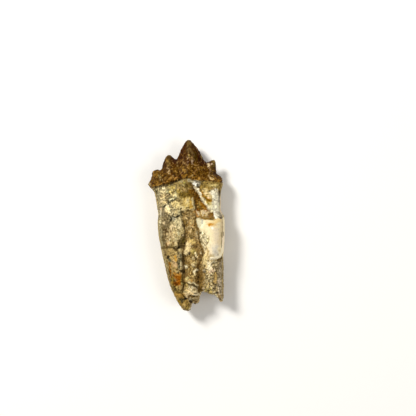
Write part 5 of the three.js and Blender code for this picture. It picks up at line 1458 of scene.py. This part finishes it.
# Each pair is where an ease starts and where it ends.
DIRT_AND_SHADE_DEPTHS, WEAR_AND_HIGHLIGHT_HEIGHTS = (-0.1, -0.42), (0.1, 0.4)  # by the height of the fine relief: dirt and painted shade, then wear and painted highlight
CREST_HIGHLIGHT_FOLDS, GLITTER_FOLDS, FURROW_SHADE_FOLDS = (0.5, 0.9), (0.3, 0.7), (0.24, -0.03)
LOW_CROWN_TONE, GLITTER_UNTIL = (32, 26), (41, 33)  # along Y
SIDE_FADE = (-3.6, -1.2)  # heights where the upper face's strokes fade down the side
SKIN_EDGE = (-0.5, 0.1)  # by the distance from the enamel's end
SNAPPED, CANAL_FILL = (0.35, 0.75), (1.25, 0.8)  # by the bare break, and by the canal's size


def dirt_shade_and_highlight(paint, grain, wear_and_highlight_share=1.0):
    """Dirt and painted shade darken what the fine relief sinks, and wear and painted highlight
    lighten what it raises.
    """
    clean_and_unshaded = smooth(*DIRT_AND_SHADE_DEPTHS[::-1], grain)[..., None]
    paint = paint * (np.array(DIRT_AND_SHADE) + (1 - np.array(DIRT_AND_SHADE)) * clean_and_unshaded)
    return paint * (1 + WEAR_AND_HIGHLIGHT * wear_and_highlight_share * smooth(*WEAR_AND_HIGHLIGHT_HEIGHTS, grain))[..., None]


def broken_paint(points):
    """Bare dentine in pale and dark splinters, with the pulp canal filled dark."""
    paint = np.broadcast_to(tint(BREAK_GROUND), points.shape)
    paint = blend(paint, specks(points, size=1.1, cover=0.4, seed=71), BREAK_PALE)
    dark = BREAK_DARK_STRENGTH * specks(points, size=0.9, cover=0.25, seed=73)
    paint = blend(paint, dark, BREAK_DARK)
    from_middle = round_pulp(points[..., 0], points[..., 2], CANAL)
    fill = FILL_STRENGTH * smooth(*CANAL_FILL, from_middle + uneven(points, FILL_STRAY, 75))
    bright = specks(points, size=0.7, cover=0.3, seed=76)
    return blend(paint, fill * (1 - 0.5 * bright), PULP_FILL)


def crown_paint(points, grain, rag, fine_rag, glinting):
    """Strokes, then amber painted highlight on the wrinkles' crests and dark painted shade in
    their furrows, then painted glints if glinting.
    """
    crown = np.broadcast_to(tint(ENAMEL_GROUND), points.shape)
    for mark in CROWN_STROKES:
        crown = stroke(crown, points, rag, *mark)
    fold = wrinkles(points)
    low = smooth(*LOW_CROWN_TONE, points[..., 1])
    # Painted highlight in amber on the wrinkles' crests, stronger low on the crown.
    crest_highlight = (CREST_HIGHLIGHT_STRENGTH + LOW_CREST_MORE * low) * smooth(*CREST_HIGHLIGHT_FOLDS, fold)
    crown = blend(crown, crest_highlight, CREST_HIGHLIGHT_TINT)
    beads = near_girdle(points, 1) * specks(points, size=0.8, cover=0.36, seed=77)
    crown = blend(crown, GIRDLE_STRENGTH * beads, GIRDLE_TINT)
    # Painted shade, nearly black, in the wrinkles' furrows.
    crown = blend(crown, FURROW_SHADE_STRENGTH * smooth(*FURROW_SHADE_FOLDS, fold), FURROW_SHADE_TINT)
    # Dirt and painted shade in the enamel's hollows, wear and painted highlight on its tops.
    crown = dirt_shade_and_highlight(crown, grain, CROWN_WEAR_AND_HIGHLIGHT)
    for at_x, at_y, width, _, colour in CROWN_SPOTS:
        spot = [(at_x, at_y)], SPOT_REACH * width, colour, CROWN_SPOT_STRENGTH
        crown = stroke(crown, points, fine_rag, *spot)
    # Painted glitter: bright specks on the highest folds.
    glitter = specks(points, size=0.42, cover=0.08, seed=84)
    glitter = glitter * smooth(*GLITTER_UNTIL, points[..., 1]) * smooth(*GLITTER_FOLDS, fold)
    crown = blend(crown, GLITTER_STRENGTH * glinting * glitter, GLITTER_TINT)
    # Painted glints, only where glinting is 1.
    for glint in GLINTS:
        lit = *glint, GLINT_STRENGTH * glinting, *GLINT_SPECKS
        crown = stroke(crown, points, fine_rag, *lit)
    return crown


def painted(points, grain, wraps, glinting):
    """Grounds by mask, then the strokes of each face, dirt by the fine relief, and the marks."""
    wander = uneven(points, WANDER, (51, 52, 53))
    ragged = points + uneven(points, PAINT_WARP, (54, 55, 56), cloud)
    slack = 1 + uneven(points, SLACK, 81)[..., None]
    on_upper, on_lower = (ragged + slack * wrap for wrap in wraps)
    rag, fine_rag = uneven(points, RAG, 57), uneven(points, FINE_RAG, 59)
    enamel, rock, plate = enamel_mask(points), rock_mask(points), plate_mask(points)
    paint = np.broadcast_to(tint(ROOT_GROUND), points.shape)
    paint = blend(blend(paint, rock, ROCK_GROUND), plate, PLATE_GROUND)
    below = paint
    for mark in UPPER_STROKES:
        paint = stroke(paint, on_upper + UPPER_WANDER * wander, rag, *mark)
    for mark in LOWER_STROKES:
        below = stroke(below, on_lower + wander, rag, *mark)
    # Dirt and painted shade in the hollows of the fine relief, wear and painted highlight on its
    # tops.
    dirt_shade_and_highlight_relief = grain * (1 - SPARED * plate)
    paint, below = (dirt_shade_and_highlight(face, dirt_shade_and_highlight_relief) for face in (paint, below))
    for path, width, _, colour in MARKS:
        mark = path, MARK_REACH * width, colour, MARK_STRENGTH
        paint = stroke(paint, on_upper, fine_rag, *mark)
    for at_x, at_y, width, _, colour in SPOTS:
        spot = [(at_x, at_y)], SPOT_REACH * width, colour, MARK_STRENGTH
        paint = stroke(paint, on_upper, fine_rag, *spot)
    fade = smooth(*SIDE_FADE, points[..., 2] + uneven(points, FADE_STRAY, 58))
    paint = below + np.maximum(fade, plate)[..., None] * (paint - below)
    snapped = smooth(*SNAPPED, bare + SNAP_RAG * rag)[..., None]
    # The bare break also gets dirt and painted shade in its hollows, and wear and painted
    # highlight on its steps.
    paint = paint + snapped * (dirt_shade_and_highlight(broken_paint(points), grain) - paint)
    crown = crown_paint(ragged, grain, rag, fine_rag, glinting)
    skin = smooth(*SKIN_EDGE, above_enamel_end(points) - SKIN_RAG * rag)
    return paint + skin[..., None] * (crown - paint)


# %% [markdown]
# ## One closed mesh
#
# The two faces share the rim's points, so the upper grid goes in whole and the lower grid without
# its rim. Each face is a sheet of quads, and the lower sheet is wound the other way round so that
# its quads face down and out.

# %% Sewing the faces together
ROWS_HIGH, COLUMNS_WIDE = x.shape
upper_index = np.arange(ROWS_HIGH * COLUMNS_WIDE).reshape(ROWS_HIGH, COLUMNS_WIDE)
lower_index = upper_index.copy()
inner = np.s_[1:-1, 1:-1]
within = (ROWS_HIGH - 2, COLUMNS_WIDE - 2)
lower_index[inner] = upper_index.size + np.arange(within[0] * within[1]).reshape(within)


def quads(index, side):
    """Four corners of each cell, anticlockwise seen from outside."""
    corners = [index[:-1, :-1], index[:-1, 1:], index[1:, 1:], index[1:, :-1]]
    return np.stack(corners[::side], -1).reshape(-1, 4)


def both(above, below):
    """Values of the upper grid, then those of the lower grid without its rim."""
    of_each = above.shape[2:]
    return np.concatenate([above.reshape(-1, *of_each), below[inner].reshape(-1, *of_each)])


places = both(upper, lower)
faces = np.concatenate([quads(upper_index, 1), quads(lower_index, -1)])
# The painted glints lie on the upper face only.
upper_paint = painted(upper, upper_grain, wrap_on_upper, glinting=1)
lower_paint = painted(lower, lower_grain, wrap_on_lower, glinting=0)
paint = both(upper_paint, lower_paint)

# The middle plane is as high as the lower face is deep, less what is worn off where it rests.
in_place = places + [0, 0, LOWER_FACE - WORN_FLAT]
in_place[:, 2] = np.maximum(in_place[:, 2], 0)
print("made size", np.round(np.ptp(in_place, axis=0), 2), "mm against", np.round(HIGH - LOW, 2))

# The grain stands proud of the solid by a few tenths, so the whole is eased into the solid's box.
made_low, made_high = in_place.min(0), in_place.max(0)
in_place = LOW + (in_place - made_low) * (HIGH - LOW) / (made_high - made_low)
in_place = np.clip(in_place, LOW, HIGH)

mesh = bpy.data.meshes.new("fossil_tooth")
mesh.from_pydata((in_place * MM).tolist(), [], faces.tolist())
mesh.shade_smooth()
colours = np.concatenate([paint, np.ones((len(paint), 1))], 1)
mesh.attributes.new("paint", "FLOAT_COLOR", "POINT").data.foreach_set("color", colours.ravel())
for name in ("enamel", "plate"):
    values = both(MASKS[name](upper), MASKS[name](lower))
    mesh.attributes.new(name, "FLOAT", "POINT").data.foreach_set("value", values)
tooth = bpy.data.objects.new("fossil_tooth", mesh)
bpy.context.scene.collection.objects.link(tooth)
print("mesh of", len(mesh.vertices), "points and", len(mesh.polygons), "quads")

# %% [markdown]
# ## The finish
#
# The paint gives each place its colour. The shader breaks it up more finely than the mesh can: a
# grain that lightens and darkens it, dark specks that lie in the bark, and fine bump. Enamel and
# the plate are glossy, bark and rock are dull.

# %% A few helpers for nodes


def node(tree, kind, settings=None, numbered=None, **inputs):
    """Adds a node. Each input is a value or another's output, under its number in numbered or
    under its name with _ for spaces."""
    made = tree.nodes.new(kind)
    for name, value in (settings or {}).items():
        setattr(made, name, value)
    wanted = {name.replace("_", " "): value for name, value in inputs.items()} | (numbered or {})
    for key, value in wanted.items():
        if isinstance(value, bpy.types.NodeSocket):
            tree.links.new(value, made.inputs[key])
        else:
            made.inputs[key].default_value = value
    return made


def mapped(tree, value, low, high, to_low, to_high):
    """The value eased from the range low..high to to_low..to_high."""
    made = node(
        tree, "ShaderNodeMapRange", {"interpolation_type": "SMOOTHSTEP"}, Value=value,
        From_Min=low, From_Max=high, To_Min=to_low, To_Max=to_high,
    )
    return made.outputs[0]


def chained(tree, operation, values):
    """All the values taken together by one operation, two at a time."""
    result = values[0]
    for value in values[1:]:
        pair = {0: result, 1: value}
        result = node(tree, "ShaderNodeMath", {"operation": operation}, pair).outputs[0]
    return result


def sum_of(tree, *values):
    """The values added up."""
    return chained(tree, "ADD", values)


def times(tree, *values):
    """The values multiplied."""
    return chained(tree, "MULTIPLY", values)


def mixed(tree, factor, one, other, way="MIX"):
    """One colour moved towards the other by the factor, in the given way of blending."""
    settings = {"data_type": "RGBA", "blend_type": way, "clamp_factor": True}
    return node(tree, "ShaderNodeMix", settings, {0: factor, 6: one, 7: other}).outputs[2]


# %% Fossil finish
# How many patches of noise lie along one metre.
GRAIN_SCALE, SPECK_SCALE, SPECK_AREA_SCALE, BLOTCH_SCALE = 1150, 1000, 260, 420
FINE_SCALE, FOLD_SCALE, FOLD_STRETCH = 1500, 900, (1, 0.2, 1)
# A range of noise, and what it is mapped to.
GRAIN_TONES = (0.35, 0.65, 0.46, 1.5)  # what the paint is multiplied by
SPECK_EDGES, SPECK_AREAS = (0.16, 0.3, 1, 0), (0.5, 0.62, 0, 1)
BLOTCHES = (0.3, 0.7, -0.1, 0.12)
SPECULAR = (0, 1, 0.09, 0.045)  # by the enamel mask
# How much more of it bark and rock have than enamel and plate, and how much these have.
GRAIN_SHARES, SPECK_SHARES = (0.75, 0.2), (0.65, 0.12)
DULL_SHARES, BUMP_SHARES = (0.34, 0.34), (0.85, 0.12)
FOLD_BUMP, SPECK_BUMP = 0.6, -0.6
BUMP_HEIGHT, BUMP_STRENGTH = 0.22 * MM, 0.8
SPECK_COLOUR, SPECULAR_TINT = (0.045, 0.032, 0.014, 1), (1, 0.78, 0.5, 1)


def fossil_finish():
    """Enamel, bark, rock and plate in one material, told apart by the mesh's own masks."""
    material = bpy.data.materials.new("fossil_tooth")
    material.use_nodes = True
    tree = material.node_tree
    shader = tree.nodes["Principled BSDF"]
    place = node(tree, "ShaderNodeTexCoord").outputs["Object"]

    def from_mesh(name, output="Fac"):
        """What the mesh says at each point, as a number or as a colour."""
        return node(tree, "ShaderNodeAttribute", {"attribute_name": name}).outputs[output]

    def noise(scale, detail, stretch=None, rough=0.6):
        """Noise from 0 to 1 in the tooth's own space, stretched where wanted."""
        where = place
        if stretch:
            where = node(tree, "ShaderNodeMapping", Vector=place, Scale=stretch).outputs[0]
        return node(
            tree, "ShaderNodeTexNoise", Vector=where, Scale=scale, Detail=detail, Roughness=rough
        ).outputs["Fac"]

    enamel = from_mesh("enamel")
    gloss = chained(tree, "MAXIMUM", (enamel, from_mesh("plate")))
    rugged = mapped(tree, gloss, 0, 1, 1, 0)

    def by_ruggedness(more, least):
        """The least share on enamel and plate, and more than that on bark and rock."""
        return sum_of(tree, times(tree, rugged, more), least)

    paint = from_mesh("paint", "Color")
    grain = mapped(tree, noise(GRAIN_SCALE, 6, rough=0.72), *GRAIN_TONES)
    grey = node(tree, "ShaderNodeCombineColor", Red=grain, Green=grain, Blue=grain).outputs[0]
    grained = mixed(tree, 1, paint, grey, "MULTIPLY")
    colour = mixed(tree, by_ruggedness(*GRAIN_SHARES), paint, grained)

    speck_cells = node(tree, "ShaderNodeTexVoronoi", Vector=place, Scale=SPECK_SCALE, Randomness=1)
    speck = mapped(tree, speck_cells.outputs["Distance"], *SPECK_EDGES)
    speck_area = mapped(tree, noise(SPECK_AREA_SCALE, 3), *SPECK_AREAS)
    dark = times(tree, speck, speck_area, by_ruggedness(*SPECK_SHARES))
    colour = mixed(tree, dark, colour, SPECK_COLOUR)

    tree.links.new(colour, shader.inputs["Base Color"])
    blotch = mapped(tree, noise(BLOTCH_SCALE, 4), *BLOTCHES)
    tree.links.new(sum_of(tree, by_ruggedness(*DULL_SHARES), blotch), shader.inputs["Roughness"])

    fine = noise(FINE_SCALE, 6, rough=0.65)
    folds = noise(FOLD_SCALE, 4, stretch=FOLD_STRETCH)
    fine_part = times(tree, fine, by_ruggedness(*BUMP_SHARES))
    fold_part, speck_part = times(tree, enamel, folds, FOLD_BUMP), times(tree, dark, SPECK_BUMP)
    height = sum_of(tree, fine_part, fold_part, speck_part)
    bump = node(
        tree, "ShaderNodeBump", Height=height, Strength=BUMP_STRENGTH, Distance=BUMP_HEIGHT
    )
    tree.links.new(bump.outputs[0], shader.inputs["Normal"])
    tree.links.new(mapped(tree, enamel, *SPECULAR), shader.inputs["Specular IOR Level"])
    shader.inputs["Specular Tint"].default_value = SPECULAR_TINT
    return material


mesh.materials.append(fossil_finish())
print("finish has", len(mesh.materials[0].node_tree.nodes), "nodes")

# %% [markdown]
# ## What it belongs to
#
# The made tooth stands for the solid one and takes its place.

# %% Riding on the frame
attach(tooth, "root")
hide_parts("tooth")

# %% [markdown]
# ## The studio
#
# The tooth lies on a pale table. A large soft lamp up to the left models the relief, a weaker
# one opposite opens the shadows, and a pale sky fills the rest.

# %% Table, lamps and sky
TABLE_HALF = 1.5  # metres from its middle to each side
TABLE_COLOUR, TABLE_ROUGHNESS = (0.94, 0.938, 0.93, 1), 0.9
# Each lamp: its place and size in metres, its power in watts, its colour.
KEY_LAMP = (-0.5, 0.45, 0.66), 0.22, 8.7, (1.0, 0.975, 0.93)
FILL_LAMP = (0.6, -0.2, 0.6), 0.5, 2.3, (1.0, 0.965, 0.9)
SKY_COLOUR, SKY_STRENGTH = (1.0, 0.975, 0.93, 1), 0.33


def table_top():
    """A square sheet at the height of 0, matt and nearly white."""
    half = TABLE_HALF
    corners = [(-half, -half, 0), (half, -half, 0), (half, half, 0), (-half, half, 0)]
    sheet = bpy.data.meshes.new("table")
    sheet.from_pydata(corners, [], [(0, 1, 2, 3)])
    top = bpy.data.objects.new("table", sheet)
    bpy.context.scene.collection.objects.link(top)
    paper = bpy.data.materials.new("pale_table")
    paper.use_nodes = True
    paper.node_tree.nodes["Principled BSDF"].inputs["Base Color"].default_value = TABLE_COLOUR
    paper.node_tree.nodes["Principled BSDF"].inputs["Roughness"].default_value = TABLE_ROUGHNESS
    sheet.materials.append(paper)
    return top


def lamp(name, place, size, power, colour):
    """A square lamp that faces the tooth."""
    light = bpy.data.lights.new(name, "AREA")
    light.size = size
    light.energy = power
    light.color = colour
    made = bpy.data.objects.new(name, light)
    made.location = place
    made.rotation_euler = (-made.location).to_track_quat("-Z", "Y").to_euler()
    bpy.context.scene.collection.objects.link(made)


table_top()
lamp("key", *KEY_LAMP)
lamp("fill", *FILL_LAMP)

sky = bpy.data.worlds.new("sky")
sky.use_nodes = True
sky.node_tree.nodes["Background"].inputs["Color"].default_value = SKY_COLOUR
sky.node_tree.nodes["Background"].inputs["Strength"].default_value = SKY_STRENGTH
bpy.context.scene.world = sky
bpy.context.scene.view_settings.view_transform = "Standard"

# %% [markdown]
# ## The camera
#
# It looks straight down. The picture is square and 208 mm wide at the height of the tooth's
# middle, and the tooth lies a little left of and below its centre.

# %% Camera
VIEW_WIDTH = 208 * MM
VIEW_HEIGHT_ABOVE = 0.5  # metres from the lens down to the tooth's middle
VIEW_CENTRE = (10.8 * MM, 8.75 * MM)
SENSOR = 36  # the usual width, in its own millimetres
camera_data = bpy.data.cameras.new("camera")
camera_data.sensor_width = SENSOR
camera_data.lens = SENSOR * VIEW_HEIGHT_ABOVE / VIEW_WIDTH
camera = bpy.data.objects.new("camera", camera_data)
camera.location = (*VIEW_CENTRE, VIEW_HEIGHT_ABOVE + (LOWER_FACE - WORN_FLAT) * MM)
bpy.context.scene.collection.objects.link(camera)
bpy.context.scene.camera = camera
print("lens of", round(camera_data.lens, 1), "mm")
